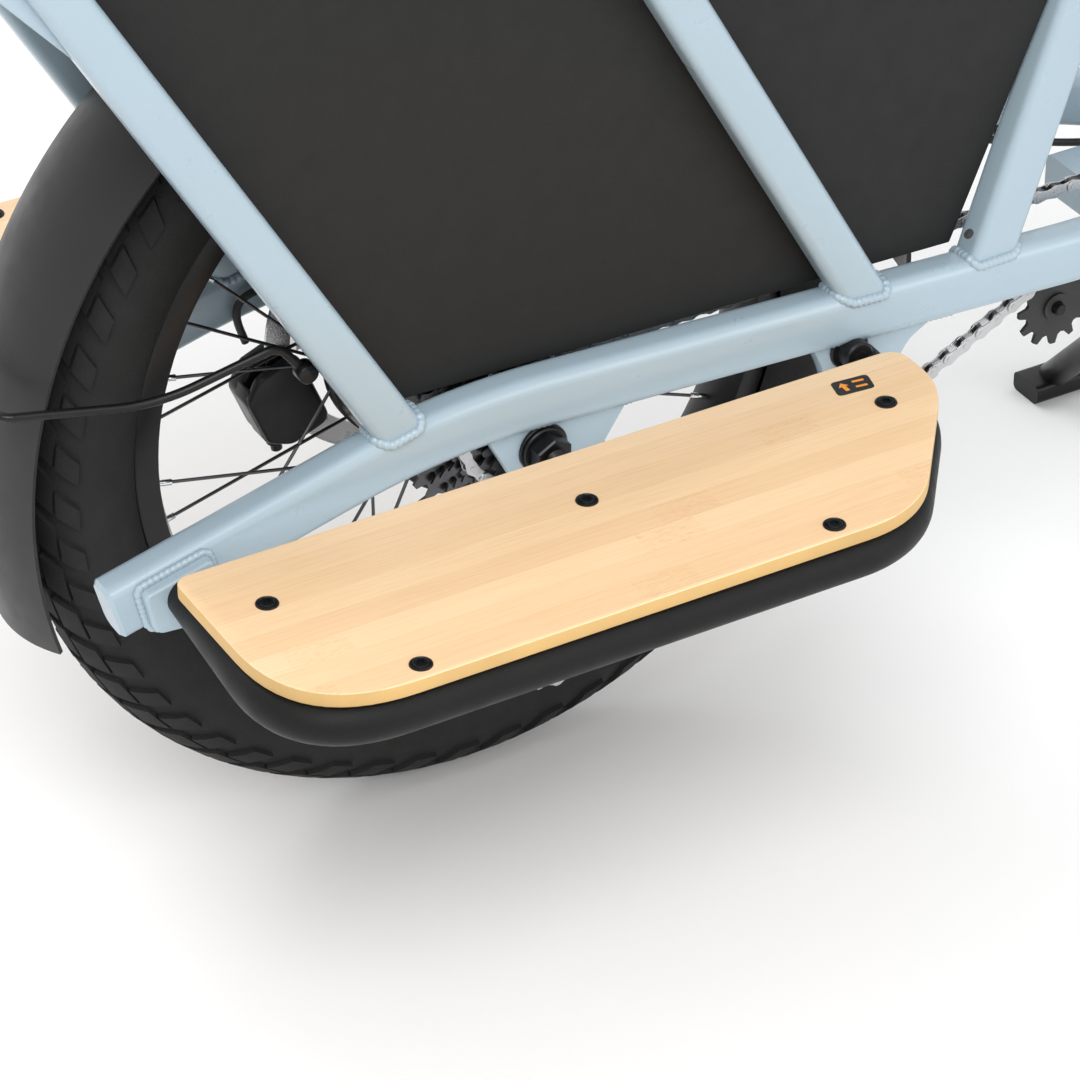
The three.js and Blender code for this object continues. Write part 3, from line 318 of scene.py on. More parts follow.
def bent(points, steps=10):
    """The polyline through points [x, y, z, reach], rounded over reach at each corner."""
    pts = [np.array(p[:3], float) for p in points]
    reach = [p[3] if len(p) > 3 else 0 for p in points]
    line = [pts[0]]
    for i in range(1, len(pts)):
        if i == len(pts) - 1 or reach[i] == 0:
            line.append(pts[i])
            continue
        back, ahead = pts[i - 1] - pts[i], pts[i + 1] - pts[i]
        a = pts[i] + back / np.linalg.norm(back) * reach[i]
        b = pts[i] + ahead / np.linalg.norm(ahead) * reach[i]
        for k in range(steps + 1):
            t = k / steps
            line.append((1 - t) ** 2 * a + 2 * t * (1 - t) * pts[i] + t * t * b)
    return np.array(line)


def circle(r, n=24):
    return [(r * math.cos(2 * math.pi * i / n), r * math.sin(2 * math.pi * i / n)) for i in range(n)]


def rounded(w, h, r, steps=5):
    """A rounded rectangle, w by h, as points."""
    pts = []
    for cx, cy, start in ((w / 2 - r, h / 2 - r, 0), (r - w / 2, h / 2 - r, 90),
                          (r - w / 2, r - h / 2, 180), (w / 2 - r, r - h / 2, 270)):
        for k in range(steps + 1):
            a = math.radians(start + 90 * k / steps)
            pts.append((cx + r * math.cos(a), cy + r * math.sin(a)))
    return pts


def sweep(path, section, side=None, closed=False, taper=None):
    """A section carried along a path; side is the section's first axis where it is fixed."""
    path = np.asarray(path, float)
    keep = [0] + [i for i in range(1, len(path)) if np.linalg.norm(path[i] - path[i - 1]) > 1e-6]
    path = path[keep]
    count = len(path)
    if closed:
        tangents = np.roll(path, -1, 0) - np.roll(path, 1, 0)
    else:
        tangents = np.gradient(path, axis=0)
    tangents /= np.linalg.norm(tangents, axis=1)[:, None]
    if side is not None:
        first = np.array([side] * count, float)
        first -= tangents * (first * tangents).sum(1)[:, None]
    else:
        first = np.zeros((count, 3))
        start = np.array([0, 0, 1.0]) if abs(tangents[0][2]) < 0.9 else np.array([1.0, 0, 0])
        now = start
        for i in range(count):
            now = now - tangents[i] * now.dot(tangents[i])
            now = now / np.linalg.norm(now)
            first[i] = now
    first /= np.linalg.norm(first, axis=1)[:, None]
    second = np.cross(tangents, first)
    section = np.asarray(section, float)
    scale = np.ones(count) if taper is None else np.asarray(taper, float)
    rings = (path[:, None, :] + scale[:, None, None] * (section[None, :, 0:1] * first[:, None, :]
                                                        + section[None, :, 1:2] * second[:, None, :]))
    m = len(section)
    faces = []
    spans = count if closed else count - 1
    for i in range(spans):
        j = (i + 1) % count
        for k in range(m):
            l = (k + 1) % m
            faces.append((i * m + k, i * m + l, j * m + l, j * m + k))
    if not closed:
        faces.append(tuple(range(m - 1, -1, -1)))
        faces.append(tuple((count - 1) * m + k for k in range(m)))
    return Shape().add(rings.reshape(-1, 3), faces)


def beam(path, w, h, r, **more):
    """A rounded bar, w across the bicycle and h the other way."""
    return sweep(path, rounded(w, h, r), side=(0, 1, 0), **more)


def tube(points, r, n=24, steps=10):
    return sweep(bent(points, steps), circle(r, n))


def rod(a, b, r, n=24, edge=0.0):
    """A round bar, its ends chamfered by edge."""
    a, b = np.array(a, float), np.array(b, float)
    if not edge:
        return sweep([a, b], circle(r, n))
    u = (b - a) / np.linalg.norm(b - a)
    path = [a, a + u * edge, b - u * edge, b]
    rings = [(r - edge) / r, 1, 1, (r - edge) / r]
    return sweep(path, circle(r, n), taper=rings)


def pin(r, x, z, y0, y1, n=24, edge=0.0):
    return rod((x, y0, z), (x, y1, z), r, n, edge)


def corners(points, steps=8):
    """A closed 2-D outline through [x, y, radius] corners, each rounded by an arc-like curve."""
    out = []
    count = len(points)
    for i, p in enumerate(points):
        at = np.array(p[:2], float)
        r = p[2] if len(p) > 2 else 0
        back = np.array(points[i - 1][:2], float) - at
        ahead = np.array(points[(i + 1) % count][:2], float) - at
        back, ahead = back / np.linalg.norm(back), ahead / np.linalg.norm(ahead)
        if r == 0:
            out.append(at)
            continue
        angle = math.acos(np.clip(back.dot(ahead), -1, 1))
        reach = r / math.tan(angle / 2)
        a, b = at + back * reach, at + ahead * reach
        for k in range(steps + 1):
            t = k / steps
            out.append((1 - t) ** 2 * a + 2 * t * (1 - t) * at + t * t * b)
    return np.array(out)


def inset(outline, d):
    """The outline moved inwards by d; the outline runs either way round."""
    p = np.asarray(outline, float)
    area = np.sum(p[:, 0] * np.roll(p[:, 1], -1) - np.roll(p[:, 0], -1) * p[:, 1])
    e = np.roll(p, -1, 0) - p
    e /= np.maximum(np.linalg.norm(e, axis=1)[:, None], 1e-9)
    normal = np.stack([-e[:, 1], e[:, 0]], 1) * (1 if area > 0 else -1)
    both = normal + np.roll(normal, 1, 0)
    length = np.maximum((both ** 2).sum(1)[:, None], 0.8)
    return p + both * 2 * d / length


def plate(outline, low, high, axis="y", bevel=1.0, rings=2):
    """A plate of a 2-D outline between low and high along an axis, its edges rounded."""
    p = np.asarray(outline, float)
    levels = [(low + bevel * (1 - math.cos(math.pi / 2 * k / rings)),
               bevel * (1 - math.sin(math.pi / 2 * k / rings))) for k in range(rings + 1)]
    levels += [(high + low - h, d) for h, d in levels[::-1]]
    verts = []
    for h, d in levels:
        q = inset(p, d) if d > 1e-9 else p
        for x, y in q:
            verts.append((x, h, y) if axis == "y" else (x, y, h) if axis == "z" else (h, x, y))
    m = len(p)
    faces = []
    for i in range(len(levels) - 1):
        for k in range(m):
            l = (k + 1) % m
            faces.append((i * m + k, i * m + l, (i + 1) * m + l, (i + 1) * m + k))
    faces.append(tuple(range(m - 1, -1, -1)))
    faces.append(tuple((len(levels) - 1) * m + k for k in range(m)))
    shape = Shape().add(verts, faces)
    return fixed(shape)


def fixed(shape):
    """The shape with its faces turned outwards where its volume is negative."""
    v = np.concatenate(shape.v)
    volume = 0.0
    for f in shape.f:
        a = v[f[0]]
        for i in range(1, len(f) - 1):
            volume += np.dot(a, np.cross(v[f[i]], v[f[i + 1]]))
    return shape if volume > 0 else Shape().add(v, [f[::-1] for f in shape.f])


def turn(profile, n=72, centre=(0, 0), start=0.0, end=2 * math.pi):
    """A closed [radius, y] profile turned about the Y axis, whole or in part."""
    profile = np.asarray(profile, float)
    m = len(profile)
    whole = abs(end - start - 2 * math.pi) < 1e-9
    count = n if whole else n + 1
    a = start + (end - start) * np.arange(count) / n
    x = centre[0] + profile[None, :, 0] * np.cos(a)[:, None]
    z = centre[1] + profile[None, :, 0] * np.sin(a)[:, None]
    y = np.broadcast_to(profile[None, :, 1], x.shape)
    faces = []
    for i in range(n):
        j = (i + 1) % count
        for k in range(m):
            l = (k + 1) % m
            faces.append((i * m + k, i * m + l, j * m + l, j * m + k))
    if not whole:
        faces.append(tuple(range(m - 1, -1, -1)))
        faces.append(tuple(n * m + k for k in range(m)))
    return fixed(Shape().add(np.stack([x, y, z], 2).reshape(-1, 3), faces))


def join(*shapes):
    made = Shape()
    for s in shapes:
        made.merge(s)
    return made


SIDES = (("right", False), ("left", True))


def on_side(shape, flip):
    """The right-hand shape, or its mirror image for the left."""
    return shape.mirrored() if flip else shape


# ---- Frame -----------------------------------------------------------------------------------------

RAIL_Y = 100
HOOP_Z, HOOP_R, HOOP_TAIL_X = 423, 14, -352
BB = (630, -20)
STAND = (536, -140)
SEAT = np.array([-math.cos(math.radians(70)), 0, math.sin(math.radians(70))])
SEAT_TUBE_LENGTH = 520
CREST = (-61.8, 35.4)
STRUTS = [(-85, (-312, 100), 27), (222, (-5, 100), 28), (299, (466, 64), 32)]


def along_seat(t):
    return np.array([BB[0], 0, BB[1]]) + SEAT * t


def rail_z(x):
    return CREST[1] + (x - CREST[0]) * (0.26 if x < CREST[0] else -0.0435)


def bead(path, r=2.4, pitch=3.6, closed=False):
    """A rippled weld bead along a path."""
    path = np.asarray(path, float)
    if closed:
        path = np.vstack([path, path[:1]])
    steps = np.linalg.norm(np.diff(path, axis=0), axis=1)
    run = np.concatenate([[0], np.cumsum(steps)])
    count = max(4, int(run[-1] / 0.9))
    s = np.linspace(0, run[-1], count + 1)
    if closed:
        s = s[:-1]
    fine = np.stack([np.interp(s, run, path[:, i]) for i in range(3)], 1)
    ripple = 0.86 + 0.30 * np.abs(np.sin(math.pi * s / pitch))
    if not closed:
        fade = np.minimum(1, np.minimum(s, run[-1] - s) / 4 + 0.25)
        ripple = ripple * fade
    return sweep(fine, circle(r, 10), closed=closed, taper=ripple)


def foot_bead(foot, top, depth):
    """The bead where a strut stands on the rail."""
    a = np.array([foot, -RAIL_Y, rail_z(foot)])
    b = np.array([top[0], -top[1], HOOP_Z])
    d = (b - a) / np.linalg.norm(b - a)
    across = np.array([0, 1.0, 0]) - d * d[1]
    across /= np.linalg.norm(across)
    other = np.cross(d, across)
    line = []
    for u, v in rounded(23, depth + 1, 6.5, 6):
        p = a + across * u + other * v
        for _ in range(6):
            over = max(0.0, abs(p[1] + RAIL_Y) - 4)
            dip = 8 - math.sqrt(max(0.0, 64 - min(over, 7.9) ** 2))
            want = rail_z(p[0]) + 17.5 - dip
            p = p + d * (want - p[2]) / d[2]
        line.append(p)
    return bead(line, 2.7, closed=True)


def strut_shape(foot, top, depth):
    a, b = (foot, -RAIL_Y, rail_z(foot)), (top[0], -top[1], HOOP_Z - 6)
    return sweep([a, b], rounded(22, depth, 6, 6), side=(0, 1, 0))


RAIL_PATH = [(-269, -100, rail_z(-269)), (-61.8, -100, 35.4, 65), (425, -100, rail_z(425), 70),
             (545, -42, 2, 30), (596, -34, -6)]
DROPOUT = corners([(-40, 24), (64, 24), (26, -34, 12), (22, -62, 10), (-6, -62, 10), (-18, -18, 12)])
GUSSET = corners([(178, 16), (284, 14), (250, -6, 18), (234, -30, 10), (196, -30, 10), (188, -6, 10)])
SOCKET = corners([(-258, -3, 4), (-216, 8, 4), (-208, -20, 10), (-224, -32, 8), (-252, -30, 8)])


def side_frame():
    rail = bent(RAIL_PATH, 16)
    tip = rail[0] + (rail[0] - rail[1]) / np.linalg.norm(rail[0] - rail[1]) * 2.2
    path = np.vstack([tip, rail])
    taper = [0.86] + [1] * len(rail)
    metal = join(
        sweep(path, rounded(24, 35, 8, 7), side=(0, 1, 0), taper=taper),
        *[strut_shape(*s) for s in STRUTS],
        plate(corners([(-246, 292), (-302, 404), (-346, 404)]), -103, -97, bevel=1.2),
        plate(DROPOUT, -104, -96, bevel=1.4),
        plate(GUSSET, -105, -95, bevel=1.6),
        plate(SOCKET, -122, -108, bevel=2.5, rings=3),
    )
    under = [bead([(x, -106, rail_z(x) - 15.5) for x in np.linspace(*run, 12)], 2.2)
             for run in ((-38, 60), (182, 282))]
    boss = [(x, -113, z) for x, z in inset(SOCKET, -1.0)]
    beads = join(*[foot_bead(*s) for s in STRUTS], *under,
                 bead(boss, 2.3, closed=True))
    return metal, beads


METAL, BEADS = side_frame()
STRUT_PLUG = join(pin(2.0, 283.8, 58.9, -111.6, -110.6, 20), pin(3.2, 283.8, 58.9, -111.2, -110.4, 24))
for name, flip in SIDES:
    make("side_rail_" + name, on_side(METAL, flip), PAINT, "frame", "side_frame_" + name, 32)
    make("weld_beads_" + name, on_side(BEADS, flip), WELD, "frame", (), 60)
    make("strut_plug_" + name, on_side(STRUT_PLUG, flip), BLACK_MATTE, "frame", ())


def head_frame():
    """Head tube, down tube, seat tube, bottom bracket, brace, yoke and the stand's lug."""
    low, high = steer([(0, 0, 442), (0, 0, 602)])
    down = bent([steer([(0, 0, 520)])[0], (745, 0, 10, 110), (638, 0, -16)], 24)
    x, z = STAND
    lug = corners([(x - 24, z - 14, 14), (x + 22, z - 14, 14), (x + 45, -24), (x - 24, -24)])
    head = join(rod(low, high, 26, 48, 1.5),
                rod(low, low + (high - low) * 0.07, 28, 48, 1.5),
                rod(high - (high - low) * 0.07, high, 28, 48, 1.5))
    metal = join(
        head,
        sweep(down, rounded(56, 74, 16, 8), side=(0, 1, 0)),
        pin(22, *BB, -50, 50, 40, 1.0),
        rod(along_seat(0), along_seat(SEAT_TUBE_LENGTH), 19, 40, 0.8),
        beam([along_seat(150), (792, 0, 40)], 26, 30, 6),
        beam([(450, 0, -20), (620, 0, -20)], 76, 26, 5),
        plate(lug, -22, 22, bevel=2.5, rings=3),
    )
    return metal


def ring_bead(centre, axis, r, size=2.4):
    """A weld bead round a tube of radius r."""
    axis = np.array(axis, float) / np.linalg.norm(axis)
    side = np.cross(axis, (0, 1, 0)) if abs(axis[1]) < 0.9 else np.array([1.0, 0, 0])
    side = side / np.linalg.norm(side)
    other = np.cross(axis, side)
    a = np.linspace(0, 2 * math.pi, 40, endpoint=False)
    line = np.array(centre) + r * (np.cos(a)[:, None] * side + np.sin(a)[:, None] * other)
    return bead(line, size, closed=True)


make("head_frame", head_frame(), PAINT, "frame", "main_frame", 32)
make("seat_weld", join(ring_bead(along_seat(24), SEAT, 19.6), ring_bead(along_seat(404), SEAT, 19.4, 1.4)),
     WELD, "frame", (), 60)


def rack_hoop():
    seat = along_seat((HOOP_Z - BB[1]) / math.sin(math.radians(70)))
    right = [(seat[0], -19, HOOP_Z), (seat[0] - 2, -64, HOOP_Z, 24), (340, -100, HOOP_Z, 60),
             (HOOP_TAIL_X, -100, HOOP_Z, 48)]
    left = [(p[0], -p[1], *p[2:]) for p in right[::-1]]
    bridge = seat[0] - 36
    return join(tube(right + left, HOOP_R, 28, 16), rod((bridge, -78, HOOP_Z), (bridge, 78, HOOP_Z), 9, 24))


make("rack_tube", rack_hoop(), PAINT, "frame", "rack_hoop", 40)
HEAD_BEADS = []
for foot, top, depth in STRUTS[:2]:
    lean = (top[0] - foot) / (HOOP_Z - rail_z(foot))
    z = HOOP_Z - HOOP_R - 0.5
    x = foot + lean * (z - rail_z(foot))
    HEAD_BEADS.append(bead([(x + u, -100 + v, z + 0.12 * abs(v)) for v, u in rounded(23, depth * 1.15, 6)],
                           2.4, closed=True))
for name, flip in SIDES:
    make("rack_welds_" + name, on_side(join(*HEAD_BEADS), flip), WELD, "frame", (), 60)
refined("rack_platform", BLACK_MATTE, "frame", 1.6)
for name, flip in SIDES:
    refined("wheel_panel_" + name, BLACK_PANEL, "frame", 0.7)


# ---- Running boards --------------------------------------------------------------------------------

DECK_TOP = 13
BOARD_DEPTH = 9
BOARD = corners([(-247, -133.5, 10), (-247, -280, 72), (141, -280, 74), (221, -178.6, 63),
                 (221, -133.5, 14)], 14)


def board_materials(o):
    """The board's side faces take a darker bamboo colour than its top."""
    o.data.materials.append(BAMBOO_EDGE)
    for p in o.data.polygons:
        if abs(p.normal.z) < 0.35:
            p.material_index = 1


def flat_disc(x, y, z0, profile, n=28):
    """A turned [radius, height] profile stood upright at a place on the board."""
    made = turn([(r, h) for r, h in profile], n)
    return made.moved(lambda v: np.stack([v[:, 0] + x, -v[:, 2] + y, v[:, 1] + z0], 1))


WASHER = [(3.4, 0), (6.6, 0), (6.3, 0.7), (5.2, 1.1), (4.6, 0.5), (3.4, 0.3)]
SCREW_HEAD = [(2.4, 0.1), (4.7, 0.1), (4.5, 1.0), (3.9, 1.35), (2.45, 1.35), (2.4, 0.1)]


def screw(x, y):
    """A black socket screw in a cupped washer."""
    washer = flat_disc(x, y, DECK_TOP, WASHER)
    head = flat_disc(x, y, DECK_TOP, SCREW_HEAD)
    socket = [(2.5 * math.cos(math.radians(60 * k)), 2.5 * math.sin(math.radians(60 * k))) for k in range(6)]
    floor = plate([(x + a, y + b) for a, b in socket], DECK_TOP, DECK_TOP + 0.35, "z", 0.05, 1)
    return join(washer, head, floor)


SCREWS = [(-213, -179.3), (-15.5, -180), (182.4, -179.5), (-168.6, -268.5), (89.3, -268.5)]
BADGE = corners([(165.6, -146.8, 3), (162.4, -161.0, 3), (186.2, -163.0, 3), (189.6, -149.0, 3)], 4)
ARROW = [(0, 4.2), (3.6, 0.6), (1.5, 0.6), (1.5, -4.0), (-1.5, -4.0), (-1.5, 0.6), (-3.6, 0.6)]


def badge_print():
    head = [(170.5 + 0.9 * a, -154.5 + b * 1.05) for a, b in ARROW]
    bar = [(177.5, -151), (184.8, -152), (184.4, -153.8), (177.1, -152.8)]
    bar2 = [(176.8, -156.5), (184.0, -157.5), (183.6, -159.3), (176.4, -158.3)]
    return join(*[plate(p, DECK_TOP + 0.25, DECK_TOP + 0.42, "z", 0.04, 1) for p in (head, bar, bar2)])


TUBE_PATH = [(-232, -122.6, -10), (-244, -271, -10, 64), (136, -271, -10, 34), (210, -177, -10, 30),
             (213, -106, -10)]


def deck_tube():
    hoop = tube(TUBE_PATH, 13, 32, 16)
    bar = beam([(-237, -173, -1.5), (205, -173, -1.5)], 26, 9, 2)
    return join(hoop, bar)


TUBE_CAP = join(pin(9.5, 206, 2, -118, -105, 28, 1.2), pin(13, 206, 2, -107.5, -105, 32, 0.8),
                pin(5, 206, 2, -119.5, -117, 6))
for name, flip in SIDES:
    slab = plate(BOARD, DECK_TOP - BOARD_DEPTH, DECK_TOP, "z", 0.9, 3)
    board = make("board_" + name, on_side(slab, flip), BAMBOO, "frame", "deck_board_" + name, 50)
    board_materials(board)
    make("board_screws_" + name, on_side(join(*[screw(*s) for s in SCREWS]), flip), BLACK_PART, "frame", (),
         30)
    make("board_tube_" + name, on_side(deck_tube(), flip), BLACK_TUBE, "frame", "deck_tube_" + name,
         45)
    make("tube_bolt_" + name, on_side(TUBE_CAP, flip), BLACK_PART, "frame", (), 30)
make("board_badge", plate(BADGE, DECK_TOP - 0.2, DECK_TOP + 0.3, "z", 0.1, 1), BLACK_MATTE, "frame", ())
make("badge_arrow", badge_print(), ORANGE, "frame", ())


# ---- Wheels ----------------------------------------------------------------------------------------

TREAD = 3.0


def tyre(outer, section, centre, repeats):
    """A carcass with a chevron tread, and thin lines round its sidewalls."""
    base = section - TREAD
    middle = outer - section
    profile = []
    for k in range(33):
        a = math.radians(144 - 288 * k / 32)
        r = base
        if k in (6, 26):
            r += 0.9
        profile.append((middle + r * math.cos(a), r * math.sin(a)))
    for k in range(17):
        a = math.radians(-144 + 288 * k / 16)
        profile.append((middle + (base - 4) * math.cos(a), (base - 4) * math.sin(a)))
    carcass = turn(profile, 120, centre)
    blocks = Shape()
    step = 2 * math.pi / repeats

    def block(t0, t1, phase, width, slant, curve):
        """A slanted block from section angle t0 to t1, degrees from the crown."""
        rows, verts, faces = 4, [], []
        for i in range(rows + 1):
            t = t0 + (t1 - t0) * i / rows
            mid = phase + slant * (abs(t) / 60) + curve * (abs(t) / 60) ** 2
            for across in (-0.5, 0.5):
                for lift in (0.0, 1.0):
                    shrink = 0.93 if lift else 1.0
                    phi_l = mid + across * width * shrink
                    s = base + (TREAD if lift else -0.6)
                    a = math.radians(t)
                    radius = middle + s * math.cos(a)
                    verts.append((centre[0] + radius * math.cos(phi_l), s * math.sin(a),
                                  centre[1] + radius * math.sin(phi_l)))
        for i in range(rows):
            a, b = 4 * i, 4 * i + 4
            faces += [(a + 1, a + 3, b + 3, b + 1), (a, a + 1, b + 1, b), (a + 2, b + 2, b + 3, a + 3)]
        faces += [(0, 2, 3, 1), (4 * rows, 4 * rows + 1, 4 * rows + 3, 4 * rows + 2)]
        if t1 < t0:
            faces = [f[::-1] for f in faces]
        blocks.add(verts, faces)

    for i in range(repeats):
        for side in (-1, 1):
            phase = step * (i + (0.5 if side > 0 else 0))
            block(side * 3, side * 20, phase, step * 0.80, 0.75 * step, 0)
            block(side * 23, side * 44, phase + 0.1 * step, step * 0.74, 0.75 * step, 0.1 * step)
            block(side * 47, side * 68, phase + 0.25 * step, step * 0.52, 0.7 * step, 0.1 * step)
    return carcass, blocks


def rim(bead_r, inner, half, centre):
    return turn([(inner, -half * 0.45), (inner + 4, -half), (bead_r, -half), (bead_r + 1.5, -half + 1),
                 (bead_r, -half + 2.4), (bead_r - 8, -half + 5), (bead_r - 8, half - 5), (bead_r, half - 2.4),
                 (bead_r + 1.5, half - 1), (bead_r, half), (inner + 4, half), (inner, half * 0.45)],
                120, centre)


def lacing(flange_r, flange_y, rim_r, count, lead, centre):
    """Spokes from both flanges to the rim, each ending in a nipple."""
    wires, nipples = Shape(), Shape()
    cx, cz = centre
    for i in range(count):
        side = 1 if i % 2 else -1
        turn_way = 1 if (i // 2) % 2 else -1
        ra = 2 * math.pi * (i + 0.5) / count
        ha = ra + turn_way * lead
        hub = np.array([cx + flange_r * math.cos(ha), side * flange_y, cz + flange_r * math.sin(ha)])
        end = np.array([cx + rim_r * math.cos(ra), side * 4, cz + rim_r * math.sin(ra)])
        way = (end - hub) / np.linalg.norm(end - hub)
        wires.merge(rod(hub, end, 1.05, 8))
        nipples.merge(rod(end - way * 11, end + way * 2, 1.9, 8, 0.4))
        wires.merge(rod(hub - [0, side * 2.0, 0], hub + [0, side * 3.4, 0], 2.1, 8, 0.5))
    return wires, nipples


def valve(bead_r, centre, angle=1.95):
    way = np.array([math.cos(angle), 0, math.sin(angle)])
    c = np.array([centre[0], 0, centre[1]])
    return join(rod(c + way * (bead_r - 44), c + way * (bead_r - 8), 2.6, 16, 0.6),
                rod(c + way * (bead_r - 50), c + way * (bead_r - 36), 3.6, 16, 1.0))


def rotor(outer, inner, y0, y1, centre, arms=6):
    """A brake disc: a plain band, curved arms and a bolted centre."""
    shape = turn([(outer - 16, y0), (outer, y0), (outer, y1), (outer - 16, y1)], 96, centre)
    shape.merge(turn([(inner - 4, y0), (inner + 9, y0), (inner + 9, y1), (inner - 4, y1)], 64, centre))
    for k in range(arms):
        a = 2 * math.pi * k / arms
        pts = []
        for t in np.linspace(0, 1, 7):
            r = inner + 6 + (outer - 12 - inner - 6) * t
            pts.append((centre[0] + r * math.cos(a + 0.45 * t), centre[1] + r * math.sin(a + 0.45 * t)))
        left, right = [], []
        for j, p in enumerate(pts):
            q, o = pts[min(j + 1, 6)], pts[max(j - 1, 0)]
            d = np.array(q) - np.array(o)
            d = d / np.linalg.norm(d)
            w = 4.2 - 1.4 * math.sin(math.pi * j / 6)
            left.append((p[0] - d[1] * w, p[1] + d[0] * w))
            right.append((p[0] + d[1] * w, p[1] - d[0] * w))
        shape.merge(plate(left + right[::-1], y0, y1, bevel=0.2, rings=1))
        shape.merge(pin(3.4, centre[0] + (inner + 1) * math.cos(a), centre[1] + (inner + 1) * math.sin(a),
                        y0, y1 + 1.6, 12, 0.5))
    return shape


def wheel(prefix, body, outer, section, bead_r, inner, half, centre, flange, count, lead, repeats, hub):
    carcass, blocks = tyre(outer, section, centre, repeats)
    make(prefix + "_carcass", carcass, RUBBER, body, prefix + "_tyre", 50)
    make(prefix + "_tread", blocks, RUBBER, body, (), 30)
    make(prefix + "_rim_ring", rim(bead_r, inner, half, centre), BLACK_PART, body, prefix + "_rim",
         40)
    wires, nipples = lacing(*flange, inner + 2, count, lead, centre)
    make(prefix + "_hub_shell", hub, BLACK_PART, body, prefix + "_hub", 34)
    make(prefix + "_spokes", wires, DARK_STEEL, body, (), 60)
    make(prefix + "_nipples", nipples, SILVER, body, (), 60)
    make(prefix + "_valve", valve(bead_r, centre), BLACK_MATTE, body, (), 40)


# Closed [radius, y] outlines of the two hubs, from one side's bore over the flanges to the other's.
MOTOR = [(7.6, -92), (14, -92), (15, -91), (15, -50), (30, -48), (52, -43), (57, -41), (62, -38), (66, -37.5),
         (66.8, -36), (66.8, -30), (65, -29), (65, 29), (66.8, 30), (66.8, 36), (66, 37.5), (62, 38),
         (57, 41),
         (54, 42), (34, 48), (22, 52), (22, 61.6), (7.6, 61.6)]
motor = turn(MOTOR, 96)
for k in range(8):
    a = 2 * math.pi * (k + 0.5) / 8
    motor.merge(pin(2.6, 58 * math.cos(a), 58 * math.sin(a), 39, 42.6, 12, 0.5))
wheel("rear", "rear_wheel", 278, 36.5, 212, 195, 19, (0, 0), (60, 33), 36, 0.42, 54, motor)
make("rear_brake_disc", rotor(90, 23, 62, 64, (0, 0)), STEEL, "rear_wheel", "rear_rotor", 30)

FRONT = (1330, 40)
FRONT_HUB = [(6, -45.4), (10.5, -45.4), (11, -44.6), (13.5, -35), (27.5, -34), (29, -33), (29, -30),
             (27, -29),
             (16, -26), (13.6, -18), (13.6, 18), (16, 26), (27, 29), (29, 30), (29, 33), (27.5, 34), (20, 35),
             (20, 39.6), (11, 42), (10.5, 45.4), (6, 45.4)]
wheel("front", "front_wheel", 318, 32.5, 262, 245, 17, FRONT, (26, 31.5), 32, 0.9, 60,
      turn(FRONT_HUB, 64, FRONT))
make("front_brake_disc", rotor(90, 21, 40, 42, FRONT), STEEL, "front_wheel", "front_rotor", 30)


# ---- Fenders ---------------------------------------------------------------------------------------

def fender(edge_r, crown, half, start, end, centre, n):
    """A thin channel with a rolled edge, over part of a turn."""
    outside, inside = [], []
    for k in range(17):
        s = -1 + k / 8
        lift = crown * (1 - s * s)
        outside.append((edge_r + 2.4 + lift, s * half))
        inside.append((edge_r + lift, s * half * 0.97))
    return turn(outside + inside[::-1], n, centre, math.radians(start), math.radians(end))


rear_fender = join(fender(287, 12, 47, -2, 196, (0, 0), 110),
                   beam([(-60, 0, 290), (-60, 0, 418)], 34, 5, 1.5))
make("rear_mudguard", rear_fender, BLACK_FENDER, "frame", "rear_fender", 40)
front_fender = fender(324, 6, 40, 50, 200, (0, 0), 90)
FRONT_SHIFT = np.array([FRONT[0], 0, FRONT[1]])
make("front_mudguard", front_fender.moved(lambda v: v + FRONT_SHIFT), BLACK_FENDER, "fork_lowers",
     "front_fender", 40)
STAY = [(-138, -84, 84), (-153, -82, 103, 8), (-222, -72, 82, 24), (-306, -54, 90, 8)]
stay = tube(STAY + [(x, -y, *rest) for x, y, *rest in STAY[::-1]], 2.6, 12, 12)
clip = join(*[rod((-138, s * 80, 84), (-138, s * 90, 84), 6, 20, 0.8) for s in (-1, 1)])
make("mudguard_stay", join(stay, clip), BLACK_PART, "frame", "fender_stay", 50)


# ---- Drivetrain ------------------------------------------------------------------------------------

PITCH = 12.7
CHAIN_Y = -76
GUIDE, TENSION, IDLER = (28, -94), (22, -166), (377, -36.8)


def pitch_r(teeth):
    return PITCH / (2 * math.sin(math.pi / teeth))


WHEELS = [((0, 0), pitch_r(18), 1), (GUIDE, pitch_r(11), -1), (TENSION, pitch_r(11), 1),
          (IDLER, pitch_r(12), -1), (BB, pitch_r(36), 1)]


def chain_line():
    headings = []
    for i, (c, r, t) in enumerate(WHEELS):
        d, rb, tb = WHEELS[(i + 1) % len(WHEELS)]
        dx, dz = d[0] - c[0], d[1] - c[1]
        headings.append(math.atan2(dz, dx) - math.asin((tb * rb - t * r) / math.hypot(dx, dz)))
    pts = []
    for i, (c, r, t) in enumerate(WHEELS):
        arrive = headings[i - 1]
        angle = (t * (headings[i] - arrive)) % (2 * math.pi)
        for k in range(41):
            a = arrive + t * angle * k / 40 - t * math.pi / 2
            pts.append((c[0] + r * math.cos(a), c[1] + r * math.sin(a)))
    return np.array(pts + pts[:1])


